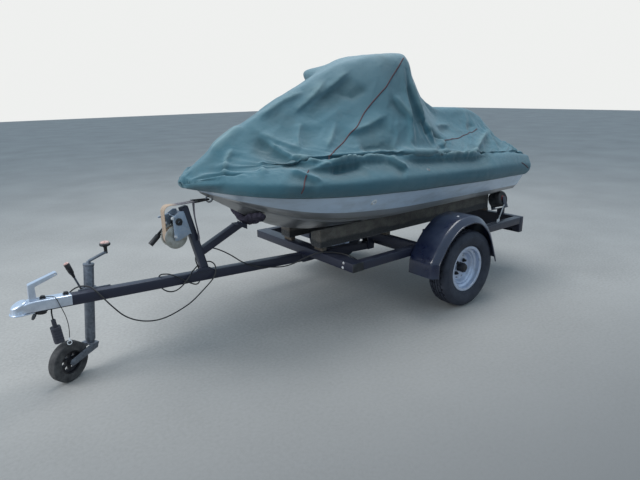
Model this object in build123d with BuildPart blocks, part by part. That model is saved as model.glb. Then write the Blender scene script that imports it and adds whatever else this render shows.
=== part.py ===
from build123d import *
import math
import os

os.makedirs("parts", exist_ok=True)

# A personal watercraft under its canvas cover, standing on a single-axle road trailer.
# Millimetres. X points to the bow and coupling, Y to port, Z up from the ground.
# Distances written "ahead" are measured forward from the road wheels' axle line.

# Road wheels: 145/80 R10 tyres on 3.50 x 10 rims
tyre_radius = 243
tyre_width = 145
wheel_offset = 116.5
rim_seat_radius = 127
rim_flange_height = 17
rim_half_width = 51.5
rim_wall = 4
rim_well_depth = 15
disc_face = -8
hub_nose_radius = 30
hub_flange_radius = 60
stud_circle = 50
stud_radius = 6
stud_count = 4
spindle_radius = 15
spindle_clearance = 0.05

# Trailer frame
frame_half = 496
frame_top = 408
rail_size = 50
frame_front = 814
frame_rear = 887
front_member_depth = 80
mid_member_rear = 210
mid_member_depth = 45
rear_member_depth = 45
rear_member_height = 115
tube_wall = 3
rail_bottom = frame_top - rail_size
wheel_track_half = frame_half + wheel_offset
rim_flange_radius = rim_seat_radius + rim_flange_height
rim_well_radius = rim_seat_radius - rim_well_depth

# Drawbar, which rises towards the coupling
bar_size = 50
bar_slope = 3.2
bar_rear = 190
bar_reach = 1476
bar_front = frame_front + bar_reach

# Overall reach of the whole thing, which puts the origin under its middle
tail_reach = 950
coupling_nose = 114
coupling_reach = bar_front + coupling_nose
axle_x = (tail_reach - coupling_reach) / 2

# Axle and rubber suspension arms
beam_ahead = 150
beam_size = 50
beam_pad_height = 8
beam_pad_half = 60
arm_thickness = 18
arm_gap = 2
arm_radius = 24
beam_top = rail_bottom - beam_pad_height
beam_half = frame_half - rail_size / 2 - 1
arm_inner = frame_half + arm_gap

# Hull: bunks and keel
packer_height = 23
keel_rise = 49
bunk_bottom = frame_top + packer_height
keel_height = bunk_bottom + keel_rise
deadrise = 18.26
bunk_inner = 112
bunk_outer = 207
bunk_front = 808
bunk_rear = 860
bunk_rounding = 8
seat_gap = 0.3

# Jockey wheel on the starboard side of the drawbar
jockey_setback = 231.3
jockey_ahead = bar_front - jockey_setback
jockey_reach = 36.2
jockey_side = -bar_size / 2 - jockey_reach
jockey_height = 300
jockey_tube_foot = 155
jockey_lean = 6.25
jockey_heading = 28
jockey_tube_radius = 24
jockey_stem_radius = 20
jockey_tube_length = 382
jockey_trail = 132
jockey_radius = 100
jockey_width = 44
jockey_shoulder = 8
jockey_crank_back = 85.8
jockey_crank_rise = 30.4

# Bow eye, winch and strap: the eye's place on the stem sets the strap, and that the post and drum
eye_setback = 50
eye_drop = 5
eye_radius = 18
eye_rod = 4
hook_reach = 96
strap_width = 50
strap_wall = 3
strap_bend = 35
strap_rise = 23
post_size = 40
post_gap = 101
post_rake = 93
drum_drop = 145
drum_reach = 100.6
drum_flange_radius = 61
drum_core_radius = 20
drum_side_gap = 5
drum_half = strap_width / 2 + drum_side_gap
flange_wall = 3

# Radial clearance of a pin in its hole
pin_clearance = 0.05

sides = ((1, "left"), (-1, "right"))


def ahead(distance):
    """X of a place that lies this far forward of the axle."""
    return axle_x + distance


def block(plane, width, height, length, mode=Mode.ADD):
    """Bar with a rectangular section centred on the plane, running along its normal."""
    with BuildSketch(plane) as section:
        Rectangle(width, height)
    extrude(section.sketch, amount=length, mode=mode)


def rod(plane, radius, length, mode=Mode.ADD):
    """Round bar from the plane's origin along its normal."""
    with BuildSketch(plane) as section:
        Circle(radius)
    extrude(section.sketch, amount=length, mode=mode)


def plate(plane, points, thickness, both=False, mode=Mode.ADD):
    """Flat plate cut to an outline drawn on the plane."""
    with BuildSketch(plane) as section:
        with BuildLine():
            Polyline(*points, close=True)
        make_face()
    extrude(section.sketch, amount=thickness, both=both, mode=mode)


def box(low, high, mode=Mode.ADD):
    """Box between two corners."""
    centre = [(a + b) / 2 for a, b in zip(low, high)]
    with BuildSketch(Plane.XY.offset(low[2])) as section:
        with Locations((centre[0], centre[1])):
            Rectangle(high[0] - low[0], high[1] - low[1])
    extrude(section.sketch, amount=high[2] - low[2], mode=mode)


def keep(piece, name):
    """Label a finished piece and write it."""
    piece.part.label = name
    export_step(piece.part, f"parts/{name}.step")


def side_plane(y):
    """Vertical fore-and-aft plane at this Y, drawn as X and Z, facing starboard."""
    return Plane.XZ.offset(-y)


# Drawbar frame: origin under the front member's front edge, X along the bar, Z off its top face
bar_tilt = math.radians(bar_slope)
bar_frame = Plane(
    origin=(ahead(frame_front), 0, rail_bottom),
    x_dir=(math.cos(bar_tilt), 0, math.sin(bar_tilt)),
    z_dir=(-math.sin(bar_tilt), 0, math.cos(bar_tilt)),
)


def along_bar(distance):
    """Place along the drawbar of a point this far ahead of the axle."""
    return (distance - frame_front) / math.cos(bar_tilt)


def bar_top(distance):
    """Height of the drawbar's top face this far ahead of the axle."""
    return rail_bottom + (distance - frame_front) * math.tan(bar_tilt)


def across_bar(x, y=0, z=0):
    """Plane square to the drawbar, facing forward."""
    return Plane(origin=bar_frame.from_local_coords((x, y, z)), x_dir=(0, 1, 0), z_dir=bar_frame.x_dir)


def beside_bar(y=0):
    """Plane along the drawbar, drawn as length and height, facing starboard."""
    return Plane(origin=bar_frame.from_local_coords((0, y, 0)), x_dir=bar_frame.x_dir, z_dir=(0, -1, 0))


# Lines of the hull, with heights over the keel. Columns: ahead of the axle, keel height,
# chine half width and height, band half width and height, gunwale half width and height
deadrise_slope = math.tan(math.radians(deadrise))
hull_lines = (
    (-870, 0, 400, 400 * deadrise_slope, 425, 160, 480, 255),
    (-300, 0, 420, 420 * deadrise_slope, 448, 170, 520, 272),
    (300, 0, 425, 425 * deadrise_slope, 450, 178, 525, 292),
    (700, 20, 405, 160, 440, 200, 515, 312),
    (950, 72, 345, 192, 405, 226, 488, 328),
    (1150, 160, 250, 242, 330, 265, 440, 344),
    (1300, 248, 130, 290, 215, 305, 345, 358),
    (1400, 310, 40, 328, 100, 335, 215, 368),
    (1450, 342, 10, 348, 30, 352, 90, 372),
)

# Spray strake on each side of the bottom: how far out towards the chine it starts, its width,
# and its depth at each station
strake_share = 0.74
strake_width = 0.06
strake_depths = (0, 8, 8, 8, 7, 5, 2, 0, 0)

# Lines of the cover, with heights over the keel. Columns: ahead of the axle, roll half width and
# height, shoulder half width and height, flank half width and height, ridge half width and height
cover_lines = (
    (-870, 530, 320, 480, 405, 290, 435, 150, 450),
    (-800, 538, 328, 480, 425, 240, 490, 140, 580),
    (-720, 545, 335, 480, 440, 225, 580, 145, 655),
    (-600, 555, 345, 480, 450, 215, 630, 130, 715),
    (-300, 572, 358, 475, 468, 225, 630, 120, 725),
    (-150, 575, 365, 468, 475, 260, 730, 150, 850),
    (60, 577, 370, 462, 482, 330, 840, 230, 1010),
    (170, 577, 375, 456, 488, 335, 870, 240, 1042),
    (300, 576, 380, 450, 500, 330, 840, 190, 1038),
    (500, 572, 386, 438, 518, 290, 760, 80, 1010),
    (700, 564, 392, 415, 528, 245, 710, 45, 920),
    (950, 538, 402, 372, 530, 200, 655, 40, 795),
    (1150, 488, 412, 322, 512, 170, 605, 40, 692),
    (1300, 392, 416, 255, 485, 140, 545, 40, 600),
    (1400, 275, 414, 190, 462, 110, 500, 35, 532),
    (1450, 215, 412, 150, 450, 90, 480, 30, 498),
)
# The cover's ends, past the hull, with the same columns and the hem's half width and height before them
cover_tail_line = (-tail_reach, 300, 290, 330, 320, 320, 365, 240, 380, 150, 384)
cover_nose_line = (1545, 20, 392, 60, 404, 50, 418, 30, 424, 10, 427)
hem_overlap = 6

# The slack cloth at each station, from 0 where it is tight to 1 where it hangs: it tucks in over the
# edge band, bulges out again just above, and sags in towards the craft between shoulder and ridge
cover_slack = (0, 0.2, 0.7, 1, 1, 1, 1, 1, 1, 1, 1, 1, 1, 1, 0.8, 0.5, 0.2, 0)
tuck_share = 0.94
tuck_in = 10
tuck_drop = 16
bulge_share = 0.06
bulge_out = 8
bulge_rise = 6
sag_share = 0.22
sag_drop = 36


def between(table, distance, column):
    """Value of one column this far ahead of the axle, in a straight line between stations."""
    for near, far in zip(table, table[1:]):
        if near[0] <= distance <= far[0]:
            share = (distance - near[0]) / (far[0] - near[0])
            return near[column] + share * (far[column] - near[column])
    raise ValueError("outside the stations")


def lifted(row, first):
    """Row of a table of lines with the keel's height added to every second column from this one."""
    raised = list(row)
    for column in range(first, len(row), 2):
        raised[column] += keel_height
    return tuple(raised)


hull_stations = [lifted(row, 1) for row in hull_lines]
cover_stations = [lifted(row, 2) for row in cover_lines]
cover_tail = lifted(cover_tail_line, 2)
cover_nose = lifted(cover_nose_line, 2)
stern_ahead = hull_stations[0][0]
bow_ahead = hull_stations[-1][0]

# From the bow eye to the winch
eye_ahead = bow_ahead - eye_setback
strap_height = between(hull_stations, eye_ahead, 1) - eye_drop
post_top = strap_height - strap_rise
post_top_ahead = bow_ahead + post_gap
post_foot_ahead = post_top_ahead - post_rake
post_foot_height = bar_top(post_foot_ahead)
drum_height = post_top - drum_drop


def post_at(height):
    """How far ahead of the axle the winch post's middle line is at this height."""
    return post_foot_ahead + post_rake * (height - post_foot_height) / (post_top - post_foot_height)


drum_ahead = post_at(drum_height) + drum_reach


def section_points(half):
    """Closed outline across the craft from the points of its port half."""
    mirrored = [(-y, z) for y, z in reversed(half) if y > 0]
    return list(half) + mirrored


def strake_points(keel, chine, chine_z, depth):
    """Inner edge, lip and outer edge of the strake on the bottom's line from keel to chine."""
    shares = (strake_share, strake_share + 0.8 * strake_width, strake_share + strake_width)
    points = [(chine * share, keel + (chine_z - keel) * share) for share in shares]
    lip_y, lip_z = points[1]
    return [points[0], (lip_y, lip_z - depth), points[2]]


def vent_plane(side):
    """Plane on the hull's side band at a drain ring, facing outboard."""
    height = between(hull_stations, vent_ahead, 7) - between(hull_stations, vent_ahead, 5)
    width = between(hull_stations, vent_ahead, 6) - between(hull_stations, vent_ahead, 4)
    y = between(hull_stations, vent_ahead, 4) + width / 2
    z = between(hull_stations, vent_ahead, 5) + height / 2
    return Plane(origin=(ahead(vent_ahead), side * y, z), x_dir=(1, 0, 0), z_dir=(0, side * height, -width))


# Fittings in the hull
vent_ahead = 640
vent_radius = 20
vent_depth = 4
engine_size = (400, 260, 180)
engine_ahead = -120
engine_floor = keel_height + 80
bay_margin = 30
tunnel_half = 100
tunnel_front = -600
tunnel_height = 170
tunnel_roof = keel_height + tunnel_height
intake_front = -360
intake_half = 70
intake_rise = 120

with BuildPart() as hull:
    for station, depth in zip(hull_stations, strake_depths):
        x, keel, chine, chine_z, band, band_z, gunwale, gunwale_z = station
        with BuildSketch(Plane.YZ.offset(ahead(x))):
            with BuildLine():
                bottom = [(0, keel), *strake_points(keel, chine, chine_z, depth), (chine, chine_z)]
                half = bottom + [(band, band_z), (gunwale, gunwale_z)]
                Polyline(*section_points(half), close=True)
            make_face()
    loft(ruled=True)
    # Engine bay, open to the deck
    bay_length = engine_size[0] / 2 + bay_margin
    bay_half = engine_size[1] / 2 + bay_margin
    box(
        (ahead(engine_ahead - bay_length), -bay_half, engine_floor),
        (ahead(engine_ahead + bay_length), bay_half, 2 * keel_height),
        mode=Mode.SUBTRACT,
    )
    # Jet tunnel under the stern and the intake ahead of it
    box(
        (ahead(stern_ahead) - 1, -tunnel_half, 0),
        (ahead(tunnel_front), tunnel_half, tunnel_roof),
        mode=Mode.SUBTRACT,
    )
    intake = [
        (ahead(tunnel_front) - 1, bunk_bottom),
        (ahead(tunnel_front) - 1, keel_height + intake_rise),
        (ahead(intake_front), keel_height),
        (ahead(intake_front), bunk_bottom),
    ]
    plate(side_plane(0), intake, intake_half, both=True, mode=Mode.SUBTRACT)
    for side, name in sides:
        rod(vent_plane(side).offset(-vent_depth), vent_radius, 40, mode=Mode.SUBTRACT)
keep(hull, "hull")


def cover_outline(hem, hem_z, columns, slack):
    """Port half of the cover's outline: hem, roll, tuck, bulge, sagging flank and ridge."""
    roll, shoulder, flank, ridge = zip(columns[::2], columns[1::2])
    tuck_y, tuck_z = ((1 - tuck_share) * a + tuck_share * b for a, b in zip(roll, shoulder))
    bulge_y, bulge_z = ((1 - bulge_share) * a + bulge_share * b for a, b in zip(shoulder, flank))
    return [
        (hem, hem_z),
        roll,
        (tuck_y - tuck_in * slack, tuck_z - tuck_drop * slack),
        (bulge_y + bulge_out * slack, bulge_z + bulge_rise * slack),
        (flank[0] * (1 - sag_share * slack), flank[1] - sag_drop * slack),
        ridge,
    ]


cover_rows = [cover_tail]
for station in cover_stations:
    hem = between(hull_stations, station[0], 6) + hem_overlap
    cover_rows.append((station[0], hem, between(hull_stations, station[0], 7), *station[1:]))
cover_rows.append(cover_nose)

with BuildPart() as cover:
    for (distance, hem, hem_z, *columns), slack in zip(cover_rows, cover_slack):
        with BuildSketch(Plane.YZ.offset(ahead(distance))):
            with BuildLine():
                Polyline(*section_points(cover_outline(hem, hem_z, columns, slack)), close=True)
            make_face()
    loft(ruled=True)
keep(cover, "cover")

with BuildPart() as engine_block:
    with BuildSketch(Plane.XY.offset(engine_floor)):
        with Locations((ahead(engine_ahead), 0)):
            Rectangle(engine_size[0], engine_size[1])
    extrude(amount=engine_size[2])
keep(engine_block, "engine_block")

with BuildPart() as side_drains:
    for side, name in sides:
        seat = vent_plane(side).offset(-vent_depth)
        rod(seat, vent_radius, vent_depth + 3)
        rod(seat.offset(vent_depth), 8, 4, mode=Mode.SUBTRACT)
keep(side_drains, "side_drains")

with BuildPart() as bow_eye:
    eye_centre = (ahead(eye_ahead), 0, strap_height)
    with BuildSketch(Plane.XZ):
        with Locations((eye_centre[0], eye_centre[2])):
            Circle(eye_radius + eye_rod)
            Circle(eye_radius - eye_rod, mode=Mode.SUBTRACT)
    extrude(amount=eye_rod, both=True)
    add(hull.part, mode=Mode.SUBTRACT)
keep(bow_eye, "bow_eye")

# Jet drive in the tunnel: ride plate, intake grate, pump with its outlet, and the steered nozzle
plate_wall = 8
plate_rise = 22
plate_bottom = keel_height + plate_rise
plate_rear = -890
grate_front = intake_front - 66
grate_bars = 5
grate_bar_width = 5
pump_radius = 68
pump_rear = -760
outlet_radius = 34
outlet_rear = -835
nozzle_pivot = -822
nozzle_front = 16
nozzle_length = 94
nozzle_root = 50
nozzle_mouth = 38
nozzle_wall = 5
ear_width = 24
ear_wall = 6
ear_offset = 58
nozzle_pin = 5
pump_sunk = 4
pump_height = plate_bottom + plate_wall + pump_radius - pump_sunk

with BuildPart() as jet_drive:
    with BuildSketch(Plane.XY.offset(plate_bottom)):
        with Locations((ahead((plate_rear + tunnel_front) / 2), 0)):
            Rectangle(tunnel_front - plate_rear, 2 * tunnel_half)
    extrude(amount=plate_wall)
    with BuildSketch(Plane.XY.offset(plate_bottom)):
        with Locations((ahead((tunnel_front + grate_front) / 2), 0)):
            with GridLocations(0, 2 * intake_half / grate_bars, 1, grate_bars):
                Rectangle(grate_front - tunnel_front, grate_bar_width)
        with Locations((ahead(tunnel_front), 0)):
            Rectangle(16, 2 * intake_half)
    extrude(amount=plate_wall)
    barrels = ((pump_rear, tunnel_front, pump_radius), (outlet_rear, pump_rear, outlet_radius))
    for rear, front, radius in barrels:
        rod(Plane(origin=(ahead(rear), 0, pump_height), z_dir=(1, 0, 0)), radius, front - rear)
    # Ears over and under the outlet, with the nozzle's upright pins
    ear_rear = nozzle_pivot - ear_width / 2
    for up in (1, -1):
        near, far = sorted((pump_height + up * ear_offset, pump_height + up * (ear_offset + ear_wall)))
        box((ahead(ear_rear), -ear_width / 2, near), (ahead(pump_rear), ear_width / 2, far))
        pin_base = Plane(origin=(ahead(nozzle_pivot), 0, pump_height + up * ear_offset), z_dir=(0, 0, -up))
        rod(pin_base, nozzle_pin, ear_offset - nozzle_root + 1)
keep(jet_drive, "jet_drive")

with BuildPart() as steering_nozzle:
    nozzle_rear = nozzle_pivot + nozzle_front - nozzle_length
    with BuildSketch(side_plane(0)):
        with BuildLine():
            Polyline(
                (ahead(nozzle_pivot + nozzle_front), pump_height + nozzle_root - nozzle_wall),
                (ahead(nozzle_pivot + nozzle_front), pump_height + nozzle_root),
                (ahead(nozzle_pivot - nozzle_front), pump_height + nozzle_root),
                (ahead(nozzle_rear), pump_height + nozzle_mouth + nozzle_wall),
                (ahead(nozzle_rear), pump_height + nozzle_mouth),
                (ahead(nozzle_pivot - nozzle_front), pump_height + nozzle_root - nozzle_wall),
                close=True,
            )
        make_face()
    revolve(axis=Axis((ahead(nozzle_pivot), 0, pump_height), (1, 0, 0)))
    for up in (1, -1):
        boss = Plane(origin=(ahead(nozzle_pivot), 0, pump_height + up * (nozzle_root - 2)), z_dir=(0, 0, up))
        rod(boss, nozzle_pin + 5, ear_offset - seat_gap - nozzle_root + 2)
        rod(boss.offset(-6), nozzle_pin + pin_clearance, 20, mode=Mode.SUBTRACT)
keep(steering_nozzle, "steering_nozzle")

# Trailer frame
def box_tube(plane, width, height, length):
    """Square tube, open at both ends, along the plane's normal."""
    block(plane, width, height, length)
    block(plane, width - 2 * tube_wall, height - 2 * tube_wall, length, mode=Mode.SUBTRACT)


rear_face = ahead(-frame_rear)
rail_start = -frame_rear + rear_member_depth
rail_end = frame_front - front_member_depth
frame_mid_z = frame_top - rail_size / 2

for side, name in sides:
    with BuildPart() as side_rail:
        rail_y = side * (frame_half - rail_size / 2)
        start = Plane(origin=(ahead(rail_start), rail_y, frame_mid_z), x_dir=(0, 1, 0), z_dir=(1, 0, 0))
        box_tube(start, rail_size, rail_size, rail_end - rail_start)
    keep(side_rail, f"side_rail_{name}")

with BuildPart() as front_crossmember:
    member_x = ahead(frame_front - front_member_depth / 2)
    start = Plane(origin=(member_x, -frame_half, frame_mid_z), x_dir=(-1, 0, 0), z_dir=(0, 1, 0))
    box_tube(start, front_member_depth, rail_size, 2 * frame_half)
keep(front_crossmember, "front_crossmember")

with BuildPart() as mid_crossmember:
    member_x = ahead(mid_member_rear + mid_member_depth / 2)
    half = frame_half - rail_size
    start = Plane(origin=(member_x, -half, frame_mid_z), x_dir=(-1, 0, 0), z_dir=(0, 1, 0))
    box_tube(start, mid_member_depth, rail_size, 2 * half)
keep(mid_crossmember, "mid_crossmember")

with BuildPart() as rear_crossmember:
    member_low = frame_top - rear_member_height
    box((rear_face, -frame_half, member_low), (rear_face + rear_member_depth, frame_half, frame_top))
    pocket_half = frame_half - rail_size - tube_wall
    box(
        (rear_face + tube_wall, -pocket_half, member_low + tube_wall),
        (rear_face + rear_member_depth, pocket_half, frame_top - tube_wall),
        mode=Mode.SUBTRACT,
    )
keep(rear_crossmember, "rear_crossmember")

with BuildPart() as end_caps:
    cap_wall = 4
    for side, name in sides:
        member_x = ahead(frame_front - front_member_depth / 2)
        cap = Plane(origin=(member_x, side * frame_half, frame_mid_z), x_dir=(1, 0, 0), z_dir=(0, side, 0))
        block(cap, front_member_depth, rail_size, cap_wall)
keep(end_caps, "end_caps")

with BuildPart() as tail_lamps:
    lamp_size = (30, 100, 80)
    lamp_inset = 16
    lamp_y = frame_half - lamp_inset - lamp_size[1] / 2
    for side, name in sides:
        low = (rear_face - lamp_size[0], side * lamp_y - lamp_size[1] / 2, frame_top - 10 - lamp_size[2])
        high = (rear_face, side * lamp_y + lamp_size[1] / 2, frame_top - 10)
        box(low, high)
keep(tail_lamps, "tail_lamps")

with BuildPart() as drawbar:
    start_x = along_bar(bar_rear)
    box_tube(across_bar(start_x, 0, -bar_size / 2), bar_size, bar_size, along_bar(bar_front) - start_x)
keep(drawbar, "drawbar")

with BuildPart() as drawbar_brackets:
    bracket_wall = 6
    spans = (
        (frame_front - front_member_depth, frame_front),
        (mid_member_rear, mid_member_rear + mid_member_depth),
    )
    for rear, front in spans:
        low_z = bar_top(rear) - bar_size
        for side, name in sides:
            y0, y1 = sorted((side * bar_size / 2, side * (bar_size / 2 + bracket_wall)))
            box((ahead(rear), y0, low_z), (ahead(front), y1, rail_bottom))
keep(drawbar_brackets, "drawbar_brackets")

# Bunks under the hull, with their tops cut to its deadrise
for side, name in sides:
    with BuildPart() as bunk:
        with BuildSketch(Plane.YZ.offset(ahead(-bunk_rear))):
            with BuildLine():
                tops = [(y, keel_height + y * deadrise_slope - seat_gap) for y in (bunk_outer, bunk_inner)]
                outline = [(bunk_inner, bunk_bottom), (bunk_outer, bunk_bottom)] + tops
                Polyline(*[(side * y, z) for y, z in outline], close=True)
            make_face()
        extrude(amount=bunk_front + bunk_rear)
        fillet(bunk.edges().filter_by(Axis.X), bunk_rounding)
        fillet(bunk.faces().sort_by(Axis.X)[-1].edges(), bunk_rounding / 2)
    keep(bunk, f"bunk_{name}")

with BuildPart() as bunk_packers:
    member_centres = (
        frame_front - front_member_depth / 2,
        mid_member_rear + mid_member_depth / 2,
        -frame_rear + rear_member_depth / 2 + 6,
    )
    for distance in member_centres:
        for side, name in sides:
            packer_y = side * (bunk_inner + bunk_outer) / 2
            box(
                (ahead(distance) - 16, packer_y - 40, frame_top),
                (ahead(distance) + 16, packer_y + 40, bunk_bottom),
            )
keep(bunk_packers, "bunk_packers")

# Stern rollers, square to the hull's bottom
roller_ahead = -848
roller_side = 295
roller_radius = 57
roller_width = 95
roller_core = 22
roller_pin = 8
roller_hull_gap = 5
yoke_wall = 5
yoke_gap = 5
yoke_depth = 72
deadrise_angle = math.radians(deadrise)
roller_height = (
    keel_height + roller_side * deadrise_slope - (roller_radius + roller_hull_gap) / math.cos(deadrise_angle)
)


def roller_frame(side):
    """Frame at a roller's middle: X forward, Z square to the hull's bottom."""
    return Plane(
        origin=(ahead(roller_ahead), side * roller_side, roller_height),
        x_dir=(1, 0, 0),
        z_dir=(0, -side * math.sin(deadrise_angle), math.cos(deadrise_angle)),
    )


def across_roller(side, y):
    """Plane square to a roller's pin, this far along it, facing along the pin."""
    frame = roller_frame(side)
    return Plane(origin=frame.from_local_coords((0, y, 0)), x_dir=(-1, 0, 0), z_dir=frame.y_dir)


for side, name in sides:
    with BuildPart() as roller:
        start = across_roller(side, -roller_width / 2)
        rod(start, roller_radius, roller_width)
        fillet(roller.edges().filter_by(GeomType.CIRCLE), 8)
        rod(start, roller_core, roller_width, mode=Mode.SUBTRACT)
    keep(roller, f"roller_{name}")
    with BuildPart() as roller_hub:
        start = across_roller(side, -roller_width / 2)
        rod(start, roller_core, roller_width)
        rod(start, roller_pin + pin_clearance, roller_width, mode=Mode.SUBTRACT)
    keep(roller_hub, f"roller_hub_{name}")

with BuildPart() as roller_brackets:
    for side, name in sides:
        frame = roller_frame(side)
        outer = roller_width / 2 + yoke_gap + yoke_wall
        rod(across_roller(side, -outer), roller_pin, 2 * outer)
        for y in (-outer, outer - yoke_wall):
            with BuildSketch(across_roller(side, y)) as cheek:
                with BuildLine():
                    Polyline((-18, 14), (18, 14), (25, -yoke_depth), (-25, -yoke_depth), close=True)
                make_face()
            extrude(cheek.sketch, amount=yoke_wall)
        base = Plane(origin=frame.from_local_coords((0, 0, -yoke_depth)), x_dir=(1, 0, 0), z_dir=frame.z_dir)
        block(base, 50, 2 * outer, yoke_wall)
        # Post from the rear member, with its top cut to the yoke's slope
        stem_half = 20
        stem_y = roller_side + yoke_depth * math.sin(deadrise_angle)
        stem_z = roller_height - yoke_depth * math.cos(deadrise_angle) + 2
        stem = [(stem_y - stem_half, frame_top), (stem_y + stem_half, frame_top)]
        stem += [(stem_y + d, stem_z + d * deadrise_slope) for d in (stem_half, -stem_half)]
        stem = [(side * y, z) for y, z in stem]
        plate(Plane.YZ.offset(rear_face + rear_member_depth / 2), stem, stem_half, both=True)
keep(roller_brackets, "roller_brackets")

with BuildPart() as roller_stays:
    stay_radius = 4
    stay_run = 248
    lug_height = 22
    for side, name in sides:
        foot_y = side * (frame_half - rail_size / 2 - 1)
        foot = Vector(ahead(roller_ahead + stay_run), foot_y, frame_top + lug_height / 2)
        head = roller_frame(side).from_local_coords((18, side * (roller_width / 2 + yoke_gap + 3), -48))
        box((foot.X - 14, foot.Y - 3, frame_top), (foot.X + 14, foot.Y + 3, frame_top + lug_height))
        rod(Plane(origin=foot, z_dir=head - foot), stay_radius, (head - foot).length)
    add(roller_brackets.part, mode=Mode.SUBTRACT)
keep(roller_stays, "roller_stays")

# Axle, arms and wheels
with BuildPart() as axle_beam:
    start = Plane(
        origin=(ahead(beam_ahead), -beam_half, beam_top - beam_size / 2),
        x_dir=(-1, 0, 0),
        z_dir=(0, 1, 0),
    )
    box_tube(start, beam_size, beam_size, 2 * beam_half)
    for side, name in sides:
        pad_y = side * (frame_half - rail_size / 2)
        pad_half = rail_size / 2 - 1
        box(
            (ahead(beam_ahead) - beam_pad_half, pad_y - pad_half, beam_top),
            (ahead(beam_ahead) + beam_pad_half, pad_y + pad_half, rail_bottom),
        )
keep(axle_beam, "axle_beam")

wheel_height = tyre_radius
hub_back = -75
arm_outer = arm_inner + arm_thickness

for side, name in sides:
    with BuildPart() as trailing_arm:
        # Torsion bar out of the beam's end, the arm back and down from it, and the spindle
        bar_start = (ahead(beam_ahead), side * beam_half, beam_top - beam_size / 2)
        rod(Plane(origin=bar_start, z_dir=(0, side, 0)), arm_radius, arm_inner - beam_half)
        with BuildSketch(side_plane(side * arm_inner)):
            with BuildLine():
                beam_end = (ahead(beam_ahead), beam_top - beam_size / 2)
                Polyline(beam_end, (axle_x, wheel_height))
            trace(line_width=2 * arm_radius)
            with Locations(beam_end, (axle_x, wheel_height)):
                Circle(arm_radius)
        extrude(amount=-side * arm_thickness)
        spindle = Plane(origin=(axle_x, side * arm_outer, wheel_height), z_dir=(0, side, 0))
        rod(spindle, spindle_radius, wheel_track_half + 4 - arm_outer)
    keep(trailing_arm, f"trailing_arm_{name}")


def wheel_plane(side):
    """Half-section of a road wheel: X outboard from its middle plane, Y radius."""
    return Plane(
        origin=(axle_x, side * wheel_track_half, wheel_height),
        x_dir=(0, side, 0),
        z_dir=(side, 0, 0),
    )


axle_line = Axis((axle_x, 0, wheel_height), (0, 1, 0))

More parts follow.
